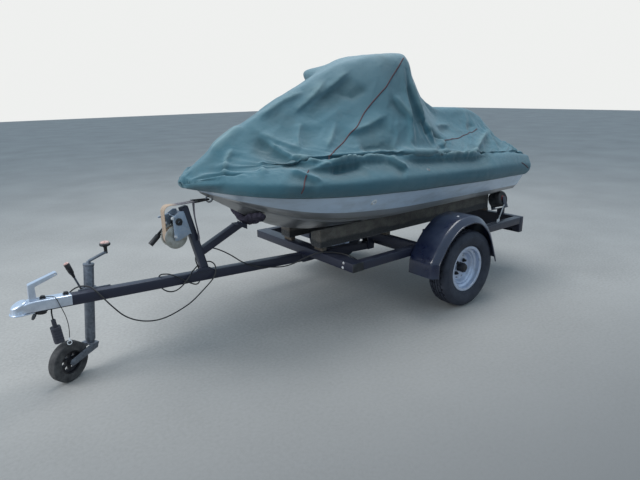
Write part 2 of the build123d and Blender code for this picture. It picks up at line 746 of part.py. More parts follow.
for side, name in sides:
    with BuildPart() as tyre:
        # Columns: outboard from the middle plane, radius
        tyre_half = tyre_width / 2
        bead_radius = rim_seat_radius + rim_wall + 0.1
        bead_outer = rim_half_width - rim_wall - 0.2
        half = (
            (bead_outer, bead_radius),
            (bead_outer, rim_flange_radius + 0.5),
            (rim_half_width + 0.5, rim_flange_radius + 3),
            (tyre_half - 4.5, tyre_radius - 71),
            (tyre_half, tyre_radius - 47),
            (tyre_half - 6.5, tyre_radius - 21),
            (tyre_half - 20.5, tyre_radius - 3),
            (0, tyre_radius),
        )
        inner = (
            (0, tyre_radius - 16),
            (tyre_half - 28.5, tyre_radius - 18),
            (tyre_half - 12.5, tyre_radius - 47),
            (tyre_half - 18.5, tyre_radius - 78),
            (rim_half_width - 17.5, bead_radius),
        )
        with BuildSketch(wheel_plane(side)):
            with BuildLine():
                outer_points = [(-x, r) for x, r in half if x > 0] + [(x, r) for x, r in reversed(half)]
                inner_points = [(x, r) for x, r in reversed(inner)] + [(-x, r) for x, r in inner if x > 0]
                Polyline(*outer_points, *inner_points, close=True)
            make_face()
        revolve(axis=axle_line)
    keep(tyre, f"tyre_{name}")

    with BuildPart() as rim:
        with BuildSketch(wheel_plane(side)):
            with BuildLine():
                Polyline(
                    (-rim_half_width, rim_flange_radius),
                    (-rim_half_width + rim_wall, rim_flange_radius),
                    (-rim_half_width + rim_wall, rim_seat_radius + rim_wall),
                    (-30, rim_seat_radius + rim_wall),
                    (-18, rim_well_radius),
                    (14, rim_well_radius),
                    (26, rim_seat_radius + rim_wall),
                    (rim_half_width - rim_wall, rim_seat_radius + rim_wall),
                    (rim_half_width - rim_wall, rim_flange_radius),
                    (rim_half_width, rim_flange_radius),
                    (rim_half_width, rim_seat_radius),
                    (27, rim_seat_radius - 2),
                    (17, rim_well_radius - rim_wall),
                    (16, rim_well_radius - 12),
                    (4, rim_well_radius - 24),
                    (disc_face, rim_well_radius - 28),
                    (disc_face, hub_nose_radius),
                    (disc_face - rim_wall, hub_nose_radius),
                    (disc_face - rim_wall, rim_well_radius - 24),
                    (0, rim_well_radius - 20),
                    (12, rim_well_radius - 9),
                    (12, rim_well_radius - rim_wall),
                    (-21, rim_well_radius - rim_wall),
                    (-31, rim_seat_radius - 2),
                    (-rim_half_width, rim_seat_radius),
                    close=True,
                )
            make_face()
        revolve(axis=axle_line)
        face = Plane(origin=(axle_x, side * (wheel_track_half - 30), wheel_height), z_dir=(0, side, 0))
        with BuildSketch(face) as stud_holes:
            with PolarLocations(stud_circle, stud_count, start_angle=45):
                Circle(stud_radius + 0.5)
        extrude(stud_holes.sketch, amount=60, mode=Mode.SUBTRACT)
    keep(rim, f"rim_{name}")

    with BuildPart() as hub:
        with BuildSketch(wheel_plane(side)):
            with BuildLine():
                back = disc_face - rim_wall
                Polyline(
                    (hub_back, 0),
                    (hub_back, hub_nose_radius + 2),
                    (back - 14, hub_nose_radius + 6),
                    (back - 12, hub_flange_radius),
                    (back, hub_flange_radius),
                    (back, hub_nose_radius - 0.5),
                    (26, hub_nose_radius - 2),
                    (34, hub_nose_radius - 8),
                    (36, 0),
                    close=True,
                )
            make_face()
        revolve(axis=axle_line)
        face_y = side * (wheel_track_half + disc_face - 6)
        face = Plane(origin=(axle_x, face_y, wheel_height), z_dir=(0, side, 0))
        with BuildSketch(face) as studs:
            with PolarLocations(stud_circle, stud_count, start_angle=45):
                Circle(stud_radius)
        extrude(studs.sketch, amount=26)
        with BuildSketch(face.offset(6)) as nuts:
            with PolarLocations(stud_circle, stud_count, start_angle=45):
                RegularPolygon(10, 6)
        extrude(nuts.sketch, amount=12)
        bore_y = side * (wheel_track_half + hub_back)
        bore_start = Plane(origin=(axle_x, bore_y, wheel_height), z_dir=(0, side, 0))
        rod(bore_start, spindle_radius + spindle_clearance, -hub_back + 6, mode=Mode.SUBTRACT)
    keep(hub, f"hub_{name}")

# Mudguards: bent plastic shells with a skirt along each edge
guard_gap = 4
guard_width = 200
guard_inner = frame_half + guard_gap
guard_outer = guard_inner + guard_width
guard_wall = 3
guard_foot = 262
skirt_depth = 35
guard_rounding = 60
guard_outline = (
    (365, guard_foot),
    (352, 370),
    (265, 490),
    (140, 577),
    (0, 592),
    (-100, 562),
    (-205, 465),
    (-290, guard_foot),
)


def guard_band(plane, depth):
    """Side view of a band this deep along the mudguard's outline, open at its foot."""
    with BuildSketch(plane) as band:
        with BuildLine():
            Polyline(*[(ahead(x), z) for x, z in guard_outline], close=True)
        make_face()
        fillet(band.vertices().filter_by(lambda corner: corner.Y > guard_foot + 1), guard_rounding)
        offset(amount=-depth, kind=Kind.INTERSECTION, mode=Mode.SUBTRACT)
        with Locations((ahead(0), guard_foot)):
            Rectangle(900, 2 * depth + 4, mode=Mode.SUBTRACT)
    return band.sketch


for side, name in sides:
    with BuildPart() as mudguard:
        extrude(guard_band(side_plane(side * guard_inner), guard_wall), amount=-side * guard_width)
        for y in (guard_inner, guard_outer - guard_wall):
            extrude(guard_band(side_plane(side * y), skirt_depth), amount=-side * guard_wall)
    keep(mudguard, f"mudguard_{name}")

with BuildPart() as mudguard_brackets:
    strut_width = 30
    strut_foot = rail_bottom + 7
    strut_drop = 4
    for side, name in sides:
        for distance in (-120, 230):
            top = between(guard_outline[::-1], distance, 1) - strut_drop
            y0, y1 = sorted((side * frame_half, side * guard_inner))
            box(
                (ahead(distance) - strut_width / 2, y0, strut_foot),
                (ahead(distance) + strut_width / 2, y1, top),
            )
keep(mudguard_brackets, "mudguard_brackets")

# Winch post, its brace and the bow stop
post_run = Vector(post_rake, 0, post_top - post_foot_height)
foot_plate = 6
post_axis = post_run.normalized()
post_foot = Vector(ahead(post_foot_ahead), 0, post_foot_height)
post_frame = Plane(origin=post_foot, x_dir=(0, 1, 0), z_dir=post_axis)

saddle_rear = post_foot_ahead - 44
saddle_front = post_foot_ahead + 82
saddle_wall = 6
saddle_rise = 24
saddle_shoulders = (30, 42)

with BuildPart() as winch_post:
    box_tube(post_frame.offset(2), post_size, post_size, post_run.length)
    foot = Plane(
        origin=bar_frame.from_local_coords((along_bar(post_foot_ahead), 0, 0)),
        x_dir=bar_frame.x_dir,
        z_dir=bar_frame.z_dir,
    )
    block(foot, 80, bar_size, foot_plate)
    # Saddle plates either side of the drawbar; the port one rises round the post's foot
    for side, name in sides:
        rise = saddle_rise if side > 0 else 0
        cheek = (
            (along_bar(saddle_rear), -bar_size),
            (along_bar(saddle_front), -bar_size),
            (along_bar(saddle_front), 0),
            (along_bar(saddle_front - saddle_shoulders[1]), rise),
            (along_bar(saddle_rear + saddle_shoulders[0]), rise),
            (along_bar(saddle_rear), rise / 4),
        )
        plate(beside_bar(side * bar_size / 2), cheek, -side * saddle_wall)
    under = along_bar(post_foot_ahead) - 100
    block(across_bar(under, 0, -bar_size / 2), 2 * bar_size, bar_size, 200, mode=Mode.SUBTRACT)
keep(winch_post, "winch_post")

pad_ahead = 1150
pad_length = 250
pad_thickness = 42
pad_width = 90
pad_rounding = 12
pad_keel = between(hull_stations, pad_ahead, 1)
keel_run = [between(hull_stations, pad_ahead + step, 1) for step in (-1, 1)]
pad_tilt = math.atan((keel_run[1] - keel_run[0]) / 2)
pad_frame = Plane(
    origin=(ahead(pad_ahead), 0, pad_keel - seat_gap),
    x_dir=(math.cos(pad_tilt), 0, math.sin(pad_tilt)),
    z_dir=(-math.sin(pad_tilt), 0, math.cos(pad_tilt)),
)
brace_rise = 111
brace_setback = 16
brace_size = 38
channel_width = 60
channel_depth = 26
brace_height = post_foot_height + brace_rise
brace_root = Vector(ahead(post_at(brace_height) - brace_setback), 0, brace_height)

with BuildPart() as bow_stop_pad:
    low = Plane(
        origin=pad_frame.from_local_coords((0, 0, -pad_thickness)),
        x_dir=pad_frame.x_dir,
        z_dir=pad_frame.z_dir,
    )
    block(low, pad_length, pad_width, pad_thickness)
    fillet(bow_stop_pad.faces().sort_by(Axis.Z)[0].edges(), pad_rounding)
keep(bow_stop_pad, "bow_stop_pad")

with BuildPart() as bow_stop_brace:
    head = pad_frame.from_local_coords((60, 0, -pad_thickness - 15))
    run = head - brace_root
    block(Plane(origin=brace_root, x_dir=(0, 1, 0), z_dir=run), brace_size, brace_size, run.length)
    channel = Plane(
        origin=pad_frame.from_local_coords((0, 0, -pad_thickness)),
        x_dir=pad_frame.x_dir,
        z_dir=-pad_frame.z_dir,
    )
    block(channel, 0.8 * pad_length, channel_width, channel_depth)
    block(post_frame, post_size, post_size, post_run.length, mode=Mode.SUBTRACT)
keep(bow_stop_brace, "bow_stop_brace")

# Winch: a drum between two cheeks, turned by a crank through a 12 to 38 gear pair
cheek_side = 45
cheek_wall = 3
shaft_radius = 8
gear_module = 3
gear_teeth = 38
pinion_teeth = 12
gear_width = 8
gear_backlash = 0.5
tooth_addendum = gear_module
tooth_dedendum = 1.25 * gear_module
pinion_lean = 15.5
gear_centres = gear_module * (gear_teeth + pinion_teeth) / 2
pinion_ahead = drum_ahead - gear_centres * math.sin(math.radians(pinion_lean))
pinion_height = drum_height + gear_centres * math.cos(math.radians(pinion_lean))
gear_side = -strap_width / 2 - gear_width
# Direction from the drum to the pinion on planes that face port, where angles turn from forward to down
mesh_angle = -90 - pinion_lean
cheek_low = drum_height + 13
cheek_height = 120
cheek_bolts = ((drum_ahead + 9, drum_height + 7), (drum_ahead + 2, drum_height + 109))
# Pawl, drawn forward and up from its pivot on the upper bolt
pawl_pivot = cheek_bolts[1]
pawl_pin = 4
pawl_outline = (
    (-6, -6),
    (-6, 6),
    (5, 8),
    (61, 0),
    (61, -8),
    (25, -9),
    (39, -55),
    (34, -58.5),
    (17, -20),
)


def cog(plane, teeth, turn, width, bore):
    """Spur gear drawn as straight-sided teeth on the plane, with one tooth at this turn in degrees."""
    pitch_radius = gear_module * teeth / 2
    root = pitch_radius - tooth_dedendum
    tip = pitch_radius + tooth_addendum
    pitch = 360 / teeth
    half_tooth = pitch / 4 - math.degrees(gear_backlash / 2 / pitch_radius)
    outline = []
    for tooth in range(teeth):
        middle = turn + tooth * pitch
        for radius, share in ((root, -1.45), (tip, -0.5), (tip, 0.5), (root, 1.45)):
            angle = math.radians(middle + share * half_tooth)
            outline.append((radius * math.cos(angle), radius * math.sin(angle)))
    with BuildSketch(plane) as blank:
        with BuildLine():
            Polyline(*outline, close=True)
        make_face()
        Circle(bore, mode=Mode.SUBTRACT)
    extrude(blank.sketch, amount=width)


with BuildPart() as winch_frame:
    face = post_size / 2
    cheek_rear = (face + cheek_wall / 2) / post_axis.Z
    cheek_top = cheek_low + cheek_height
    cheek = (
        (ahead(post_at(cheek_low) + cheek_rear), cheek_low),
        (ahead(post_at(cheek_top) + cheek_rear), cheek_top),
        (ahead(drum_ahead - 25), cheek_top + 2),
        (ahead(drum_ahead + 17), cheek_top - 22),
        (ahead(drum_ahead + 13), drum_height - 13),
        (ahead(drum_ahead - 7), drum_height - 17),
    )
    for side, name in sides:
        plate(side_plane(side * cheek_side), cheek, -side * cheek_wall)
    web_foot = (cheek_low - post_foot.Z) / post_axis.Z
    web_plane = Plane(
        origin=post_foot + post_axis * web_foot + post_frame.y_dir * -face,
        x_dir=(0, 1, 0),
        z_dir=post_axis,
    )
    with BuildSketch(web_plane) as web_section:
        with Locations((0, -cheek_wall / 2)):
            Rectangle(2 * cheek_side + 2 * cheek_wall, cheek_wall)
    extrude(web_section.sketch, amount=cheek_height)
    across = (0, 1, 0)
    cheek_outer = cheek_side + cheek_wall
    shaft_half = cheek_side + 10
    shaft_plane = Plane(origin=(ahead(drum_ahead), -shaft_half, drum_height), z_dir=across)
    rod(shaft_plane, shaft_radius, 2 * shaft_half)
    for x, z in cheek_bolts:
        for side, name in sides:
            with BuildSketch(Plane(origin=(ahead(x), side * cheek_outer, z), z_dir=(0, side, 0))) as head:
                RegularPolygon(8, 6)
            extrude(head.sketch, amount=6)
    # Bearing holes for the crank's shaft
    shaft_start = Plane(origin=(ahead(pinion_ahead), -cheek_outer - 1, pinion_height), z_dir=across)
    rod(shaft_start, shaft_radius + pin_clearance, 2 * cheek_outer + 2, mode=Mode.SUBTRACT)
    # Pawl on its pin, over the gear's teeth
    pin_start = Plane(origin=(ahead(pawl_pivot[0]), -cheek_side, pawl_pivot[1]), z_dir=across)
    rod(pin_start, pawl_pin, 2 * cheek_side)
    pawl = [(ahead(pawl_pivot[0] + x), pawl_pivot[1] + z) for x, z in pawl_outline]
    plate(side_plane(gear_side), pawl, -gear_width + 1)
    add(winch_post.part, mode=Mode.SUBTRACT)
keep(winch_frame, "winch_frame")

with BuildPart() as winch_drum:
    drum_plane = Plane.XZ.offset(-drum_half - flange_wall)
    with BuildSketch(drum_plane) as drum_ends:
        with Locations((ahead(drum_ahead), drum_height)):
            Circle(drum_flange_radius)
    extrude(drum_ends.sketch, amount=flange_wall)
    gear_plane = Plane(origin=(ahead(drum_ahead), gear_side, drum_height), x_dir=(1, 0, 0), z_dir=(0, 1, 0))
    cog(gear_plane, gear_teeth, mesh_angle - 180 / gear_teeth, gear_width, shaft_radius)
    with BuildSketch(Plane.XZ) as core:
        with Locations((ahead(drum_ahead), drum_height)):
            Circle(drum_core_radius)
    extrude(core.sketch, amount=drum_half, both=True)
    with BuildSketch(Plane.XZ) as bore:
        with Locations((ahead(drum_ahead), drum_height)):
            Circle(shaft_radius)
    extrude(bore.sketch, amount=drum_half + 10, both=True, mode=Mode.SUBTRACT)
keep(winch_drum, "winch_drum")

coil_radius = 50
with BuildPart() as winch_strap:
    bend_x = ahead(drum_ahead + coil_radius - strap_bend)
    loop_x = ahead(eye_ahead + hook_reach)
    with BuildSketch(Plane.XZ):
        with Locations((ahead(drum_ahead), drum_height)):
            Circle(coil_radius)
            Circle(drum_core_radius, mode=Mode.SUBTRACT)
        # Rise from the coil, the bend at the top and the level run back to the hook
        rise_x = ahead(drum_ahead + coil_radius) - strap_wall / 2
        bend_z = strap_height - strap_bend
        with Locations((rise_x, (drum_height + bend_z) / 2)):
            Rectangle(strap_wall, bend_z - drum_height)
        with BuildLine():
            radius = strap_bend - strap_wall / 2
            CenterArc((bend_x, bend_z), radius, 0, 90)
        trace(line_width=strap_wall)
        with Locations(((bend_x + loop_x) / 2, bend_z + strap_bend - strap_wall / 2)):
            Rectangle(bend_x - loop_x, strap_wall)
    extrude(amount=strap_width / 2, both=True)
    # Loose end, hanging behind the post's port corner
    tail_top = strap_height - strap_wall
    tail = ((-5, -1), (25, -1), (40, 120), (40, 210), (23, 210), (22, 118), (-5, 90))
    plate(Plane.YZ.offset(loop_x), [(y, tail_top - drop) for y, drop in tail], 3)
keep(winch_strap, "winch_strap")

hook_rod = 4.5
with BuildPart() as strap_hook:
    hook_z = strap_height - strap_wall / 2
    rear_x = ahead(eye_ahead + eye_radius - eye_rod) - 1.5 - hook_rod
    with BuildSketch(Plane.XY.offset(hook_z - hook_rod)) as link:
        with BuildLine():
            Polyline(
                (rear_x - hook_rod, -13),
                (rear_x - hook_rod, 13),
                (loop_x - 12, 32),
                (loop_x, 32),
                (loop_x, -32),
                (loop_x - 12, -32),
                close=True,
            )
        make_face()
        offset(amount=-2 * hook_rod, kind=Kind.INTERSECTION, mode=Mode.SUBTRACT)
    extrude(link.sketch, amount=2 * hook_rod)
keep(strap_hook, "strap_hook")

crank_length = 156.8
crank_drop = math.radians(41.7)
crank_wall = 6
crank_width = 22
grip_radius = 14
grip_length = 62
shaft_end = cheek_side + 12
crank_end = (
    pinion_ahead + crank_length * math.cos(crank_drop),
    pinion_height - crank_length * math.sin(crank_drop),
)
with BuildPart() as winch_crank:
    shaft_foot = Plane(origin=(ahead(pinion_ahead), -shaft_end, pinion_height), z_dir=(0, 1, 0))
    rod(shaft_foot, shaft_radius, 2 * shaft_end)
    pinion_start = (ahead(pinion_ahead), gear_side - 1, pinion_height)
    pinion_plane = Plane(origin=pinion_start, x_dir=(1, 0, 0), z_dir=(0, 1, 0))
    cog(pinion_plane, pinion_teeth, mesh_angle + 180, gear_width + 2, shaft_radius - 1)
    with BuildSketch(side_plane(-shaft_end)) as arm:
        with BuildLine():
            Polyline((ahead(pinion_ahead), pinion_height), (ahead(crank_end[0]), crank_end[1]))
        trace(line_width=crank_width)
        with Locations((ahead(pinion_ahead), pinion_height)):
            Circle(crank_width / 2 + 3)
    extrude(arm.sketch, amount=crank_wall)
    reach = Vector(crank_end[0] - pinion_ahead, 0, crank_end[1] - pinion_height)
    grip_start = Vector(ahead(crank_end[0]), -shaft_end - crank_wall / 2, crank_end[1])
    grip_start -= reach.normalized() * 0.8 * grip_length
    rod(Plane(origin=grip_start, z_dir=reach), grip_radius, grip_length)
keep(winch_crank, "winch_crank")

# Coupling head: a pressed channel over the drawbar, with a flanged ball housing in front
coupling_rear = bar_front - 146
coupling_wall = 4
coupling_depth = 52
coupling_drop = 44
coupling_easing = 5
ball_radius = 25.2
ball_depth = 20
flange_radius = 40
flange_rear = 58
coupling_flange = 5
housing_radius = 34.5
housing_top = 16
housing_easing = 11
recess_size = (58, 16)
recess_depth = 2
coupling_bolts = (coupling_rear + 19, coupling_rear + 117)
bolt_head_radius = 9
bolt_head_height = 3.5
nose_local = (coupling_reach - frame_front - coupling_depth * math.sin(bar_tilt)) / math.cos(bar_tilt)
ball_local = nose_local - flange_radius

with BuildPart() as coupling:
    rear_local = along_bar(coupling_rear)
    sleeve_end = along_bar(bar_front)
    sleeve_half = bar_size / 2 + coupling_wall
    off_bar = Axis(tuple(bar_frame.origin), tuple(bar_frame.z_dir))
    with BuildSketch(bar_frame.offset(-coupling_depth)) as housing:
        with Locations((ball_local, 0)):
            Circle(housing_radius)
    extrude(housing.sketch, amount=coupling_depth + housing_top)
    fillet(coupling.faces().sort_by(off_bar)[-1].edges(), housing_easing)
    with BuildSketch(bar_frame.offset(coupling_wall)) as cap:
        with BuildLine():
            Polyline(
                (rear_local, -sleeve_half),
                (rear_local, sleeve_half),
                (sleeve_end, sleeve_half),
                (ball_local, housing_radius - 2),
                (ball_local, -housing_radius + 2),
                (sleeve_end, -sleeve_half),
                close=True,
            )
        make_face()
    with BuildPart(mode=Mode.PRIVATE) as sleeve:
        extrude(cap.sketch, amount=-coupling_drop - coupling_wall)
        fillet(sleeve.faces().sort_by(off_bar)[-1].edges(), coupling_easing)
    add(sleeve.part)
    # Rim round the housing's foot
    with BuildSketch(bar_frame.offset(-coupling_depth)) as rim_outline:
        with Locations((ball_local, 0)):
            Circle(flange_radius)
        with BuildLine():
            Polyline(
                (ball_local, flange_radius),
                (ball_local - flange_rear, sleeve_half),
                (ball_local - flange_rear, -sleeve_half),
                (ball_local, -flange_radius),
                close=True,
            )
        make_face()
    extrude(rim_outline.sketch, amount=coupling_flange)
    # Channel for the drawbar
    with BuildSketch(bar_frame) as channel:
        with Locations(((rear_local + sleeve_end) / 2, 0)):
            Rectangle(sleeve_end - rear_local, bar_size)
    extrude(channel.sketch, amount=-coupling_depth - 1, mode=Mode.SUBTRACT)
    # Pressed recesses in the housing's sides
    for side, name in sides:
        recess_plane = beside_bar(side * (housing_radius - recess_depth))
        with BuildSketch(recess_plane) as recess:
            with Locations((ball_local - 8, -coupling_depth / 2 + 8)):
                SlotOverall(*recess_size)
        extrude(recess.sketch, amount=-side * 2 * recess_depth, mode=Mode.SUBTRACT)
    # Hollow for the ball
    with BuildSketch(bar_frame.offset(-coupling_depth)) as socket:
        with Locations((ball_local, 0)):
            Circle(ball_radius)
    extrude(socket.sketch, amount=ball_depth, mode=Mode.SUBTRACT)
    with Locations(Location(bar_frame.from_local_coords((ball_local, 0, -coupling_depth + ball_depth)))):
        Sphere(ball_radius, mode=Mode.SUBTRACT)
    with BuildSketch(bar_frame.offset(coupling_wall)) as bolt_heads:
        for distance in coupling_bolts:
            with Locations((along_bar(distance), 0)):
                Circle(bolt_head_radius)
    extrude(bolt_heads.sketch, amount=bolt_head_height)
keep(coupling, "coupling")

handle_half = 14
handle_wall = 3
handle_offset = 12
handle_rounding = 6
with BuildPart() as coupling_handle:
    pivot = along_bar(bar_front + handle_offset)
    lever = (
        (pivot - 14, coupling_wall),
        (pivot + 16, coupling_wall),
        (pivot + 16, 78),
        (pivot - 104, 122),
        (pivot - 110, 108),
        (pivot - 10, 66),
    )
    with BuildSketch(beside_bar(0)) as side_view:
        with BuildLine():
            Polyline(*lever, close=True)
        make_face()
        fillet(side_view.vertices().sort_by(Axis.Y)[2:], handle_rounding)
    extrude(side_view.sketch, amount=handle_half, both=True)
    # Hollow under the lever and the hole at its end
    inset = bar_frame.z_dir * -1.5 * handle_wall + bar_frame.x_dir * -handle_wall
    hollow = side_view.sketch.moved(Location(inset))
    extrude(hollow, amount=handle_half - handle_wall, both=True, mode=Mode.SUBTRACT)
    hole = bar_frame.from_local_coords((pivot - 97, -20, 111))
    rod(Plane(origin=hole, z_dir=(0, 1, 0)), 4, 40, mode=Mode.SUBTRACT)
keep(coupling_handle, "coupling_handle")

# Jockey wheel. Its axis leans back at the top; the swivel frame's X points along the fork
lean = math.radians(jockey_lean)
jockey_axis = Vector(-math.sin(lean), 0, math.cos(lean))
heading = math.radians(jockey_heading)
level_forward = Vector(math.cos(lean), 0, math.sin(lean))
fork_forward = level_forward * math.cos(heading) + Vector(0, 1, 0) * math.sin(heading)
fork_side = jockey_axis.cross(fork_forward)
axis_point = Vector(ahead(jockey_ahead), jockey_side, jockey_height)

# Drop from that point, along the axis, which sets the tyre's lowest edge on the ground
level_share = math.sqrt(1 - fork_side.Z**2)
wheel_low = (
    (jockey_radius - jockey_shoulder) * level_share
    + (jockey_width / 2 - jockey_shoulder) * abs(fork_side.Z)
    + jockey_shoulder
)
axle_drop = (jockey_height + jockey_trail * fork_forward.Z - wheel_low) / jockey_axis.Z
jockey_frame = Plane(origin=axis_point, x_dir=fork_forward, z_dir=jockey_axis)
tube_foot = -(jockey_height - jockey_tube_foot) / jockey_axis.Z
tube_head = tube_foot + jockey_tube_length
stem_clearance = 0.5
crown_top = tube_foot - 14
crown_wall = 6
fork_wall = 5
fork_gap = 5
fork_half = jockey_width / 2 + fork_gap


def on_jockey(height):
    """Plane square to the jockey's axis at this height along it."""
    return jockey_frame.offset(height)


with BuildPart() as jockey_tube:
    rod(on_jockey(tube_foot), jockey_tube_radius, jockey_tube_length)
    tube_bore = jockey_stem_radius + stem_clearance
    rod(on_jockey(tube_foot), tube_bore, jockey_tube_length - 12, mode=Mode.SUBTRACT)
keep(jockey_tube, "jockey_tube")

with BuildPart() as jockey_crank:
    rod(on_jockey(tube_head), jockey_tube_radius + 2, 8)
    rod(on_jockey(tube_head + 8), 10, 12)
    crank_start = jockey_frame.from_local_coords((0, 0, tube_head + 20))
    crank_run = Vector(-jockey_crank_back, 0, jockey_crank_rise)
    knob_foot = crank_start + crank_run
    block(Plane(origin=crank_start, x_dir=(0, 1, 0), z_dir=crank_run), 20, 8, crank_run.length)
    # Mushroom knob. Columns: radius, height over the arm's end
    knob = ((0, -6), (7, -6), (7, 20), (10, 28), (24, 34), (25, 42), (19, 50), (0, 53))
    with BuildSketch(Plane.XZ.offset(-jockey_side)) as knob_half:
        with BuildLine():
            Polyline(*[(knob_foot.X + r, knob_foot.Z + z) for r, z in knob], close=True)
        make_face()
    revolve(knob_half.sketch, axis=Axis(tuple(knob_foot), (0, 0, 1)))
keep(jockey_crank, "jockey_crank")

with BuildPart() as jockey_clamp:
    ring_low = (bar_top(jockey_ahead) - bar_size + 4 - jockey_height) / jockey_axis.Z
    rod(on_jockey(ring_low), jockey_tube_radius + 9, 46)
    plate_local = along_bar(jockey_ahead - 30)
    plate_plane = Plane(
        origin=bar_frame.from_local_coords((plate_local, -bar_size / 2, -bar_size / 2)),
        x_dir=bar_frame.x_dir,
        z_dir=(0, -1, 0),
    )
    block(plate_plane, 150, 58, 6)
    rod(on_jockey(ring_low - 1), jockey_tube_radius, 48, mode=Mode.SUBTRACT)
    lever_foot = Vector(ahead(jockey_ahead) + 20.3, jockey_side, bar_top(jockey_ahead) - 12.6)
    lever_run = Vector(52, 0, 148)
    lever_head = lever_foot + lever_run
    rod(Plane(origin=lever_foot, z_dir=lever_run), 5, lever_run.length)
    rod(Plane(origin=lever_head - lever_run.normalized() * 50, z_dir=lever_run), 12, 50)
keep(jockey_clamp, "jockey_clamp")

with BuildPart() as jockey_stem:
    rod(on_jockey(crown_top), jockey_stem_radius, tube_head - 30 - crown_top)
keep(jockey_stem, "jockey_stem")

with BuildPart() as jockey_fork:
    crown_low = crown_top - 0.3 - crown_wall
    with BuildSketch(on_jockey(crown_low)):
        Rectangle(50, 2 * (fork_half + fork_wall))
    extrude(amount=crown_wall)
    for side in (1, -1):
        cheek_plane = Plane(
            origin=jockey_frame.from_local_coords((0, side * fork_half, 0)),
            x_dir=jockey_frame.x_dir,
            z_dir=jockey_frame.y_dir * -1,
        )
        with BuildSketch(cheek_plane) as cheek:
            with BuildLine():
                Polyline(
                    (-24, crown_low + crown_wall),
                    (25, crown_low + crown_wall),
                    (jockey_trail + 10, -axle_drop + 15),
                    (jockey_trail + 16, -axle_drop),
                    (jockey_trail + 6, -axle_drop - 14),
                    (jockey_trail - 12, -axle_drop - 14),
                    (-18, crown_low - 22),
                    close=True,
                )
            make_face()
        extrude(cheek.sketch, amount=-side * fork_wall)
    pin = Plane(
        origin=jockey_frame.from_local_coords((jockey_trail, -fork_half - fork_wall - 6, -axle_drop)),
        z_dir=jockey_frame.y_dir,
    )
    rod(pin, 6, 2 * (fork_half + fork_wall + 6))
keep(jockey_fork, "jockey_fork")


def across_jockey(y):
    """Plane square to the jockey wheel's axle, this far along it."""
    origin = jockey_frame.from_local_coords((jockey_trail, y, -axle_drop))
    return Plane(origin=origin, x_dir=jockey_frame.x_dir, z_dir=jockey_frame.y_dir)


jockey_core = 58
hub_rim = 5
hub_web = 12
window_circle = 34
window_radius = 9.5
window_count = 6
with BuildPart() as jockey_tyre:
    rod(across_jockey(-jockey_width / 2), jockey_radius, jockey_width)
    fillet(jockey_tyre.edges().filter_by(GeomType.CIRCLE), jockey_shoulder)
    rod(across_jockey(-jockey_width / 2), jockey_core, jockey_width, mode=Mode.SUBTRACT)
keep(jockey_tyre, "jockey_tyre")

with BuildPart() as jockey_hub:
    rod(across_jockey(-jockey_width / 2 + 4), jockey_core, jockey_width - 8)
    rod(across_jockey(-jockey_width / 2 + 4), jockey_core - hub_rim, jockey_width - 8, mode=Mode.SUBTRACT)
    rod(across_jockey(-hub_web / 2), jockey_core - hub_rim, hub_web)
    with BuildSketch(across_jockey(-hub_web)) as windows:
        with PolarLocations(window_circle, window_count):
            Circle(window_radius)
    extrude(windows.sketch, amount=2 * hub_web, mode=Mode.SUBTRACT)
    rod(across_jockey(-jockey_width / 2 - 2), 16, jockey_width + 4)
    rod(across_jockey(-jockey_width / 2 - 2), 6.05, jockey_width + 4, mode=Mode.SUBTRACT)
keep(jockey_hub, "jockey_hub")

# Seven-pin plug's parking plate under the coupling, and the plug hanging by its cable
holder_ahead = bar_front - 18
holder_plate = 4
holder_radius = 22
holder_depth = 16
lid_wall = 5
lid_tilt = math.radians(35)
plug_top = (2237, 18, 334)
plug_foot = (2226, 18, 220)
plug_neck = 10
plug_neck_length = 38
plug_size = 44
plug_grooves = 4

with BuildPart() as plug_holder:
    under = bar_frame.offset(-bar_size)
    holder_place = (along_bar(holder_ahead), 0)
    with BuildSketch(under) as flange:
        with Locations(holder_place):
            Rectangle(2 * holder_radius, bar_size - 2)
    extrude(flange.sketch, amount=-holder_plate)
    with BuildSketch(under) as socket:
        with Locations(holder_place):
            Circle(holder_radius)
    extrude(socket.sketch, amount=-holder_depth)
    # Sprung lid, hanging open in front of the socket
    lid_place = (along_bar(holder_ahead) + holder_radius - 2, 0, -bar_size - holder_depth + 6)
    lid_hinge = bar_frame.from_local_coords(lid_place)
    lid_plane = Plane(origin=lid_hinge, x_dir=(0, 1, 0), z_dir=(math.cos(lid_tilt), 0, math.sin(lid_tilt)))
    with BuildSketch(lid_plane) as lid:
        with Locations((0, -holder_radius + 4)):
            Circle(holder_radius - 3)
    extrude(lid.sketch, amount=lid_wall)
keep(plug_holder, "plug_holder")

with BuildPart() as trailer_plug:
    top = Vector(ahead(plug_top[0]), plug_top[1], plug_top[2])
    foot = Vector(ahead(plug_foot[0]), plug_foot[1], plug_foot[2])
    drop = foot - top
    plug_plane = Plane(origin=top, x_dir=(0, 1, 0), z_dir=drop)
    rod(plug_plane, plug_neck, plug_neck_length + 10)
    with BuildSketch(plug_plane.offset(plug_neck_length)) as body:
        RectangleRounded(plug_size, plug_size, 12)
    extrude(body.sketch, amount=drop.length - plug_neck_length)
    for groove in range(plug_grooves):
        with BuildSketch(plug_plane.offset(plug_neck_length + 10 + groove * 14)) as ring:
            RectangleRounded(plug_size, plug_size, 12)
            RectangleRounded(plug_size - 4, plug_size - 4, 10, mode=Mode.SUBTRACT)
        extrude(ring.sketch, amount=6, mode=Mode.SUBTRACT)
keep(trailer_plug, "trailer_plug")


def bend_radii(points):
    """Radius of the arc at each inner point of a cord's route, as large as its two runs allow."""
    radii = []
    for before, here, after in zip(points, points[1:], points[2:]):
        turn = math.radians((here - before).get_angle(after - here))
        shorter = min((here - before).length, (after - here).length)
        radii.append(0.45 * shorter / math.tan(turn / 2))
    return radii


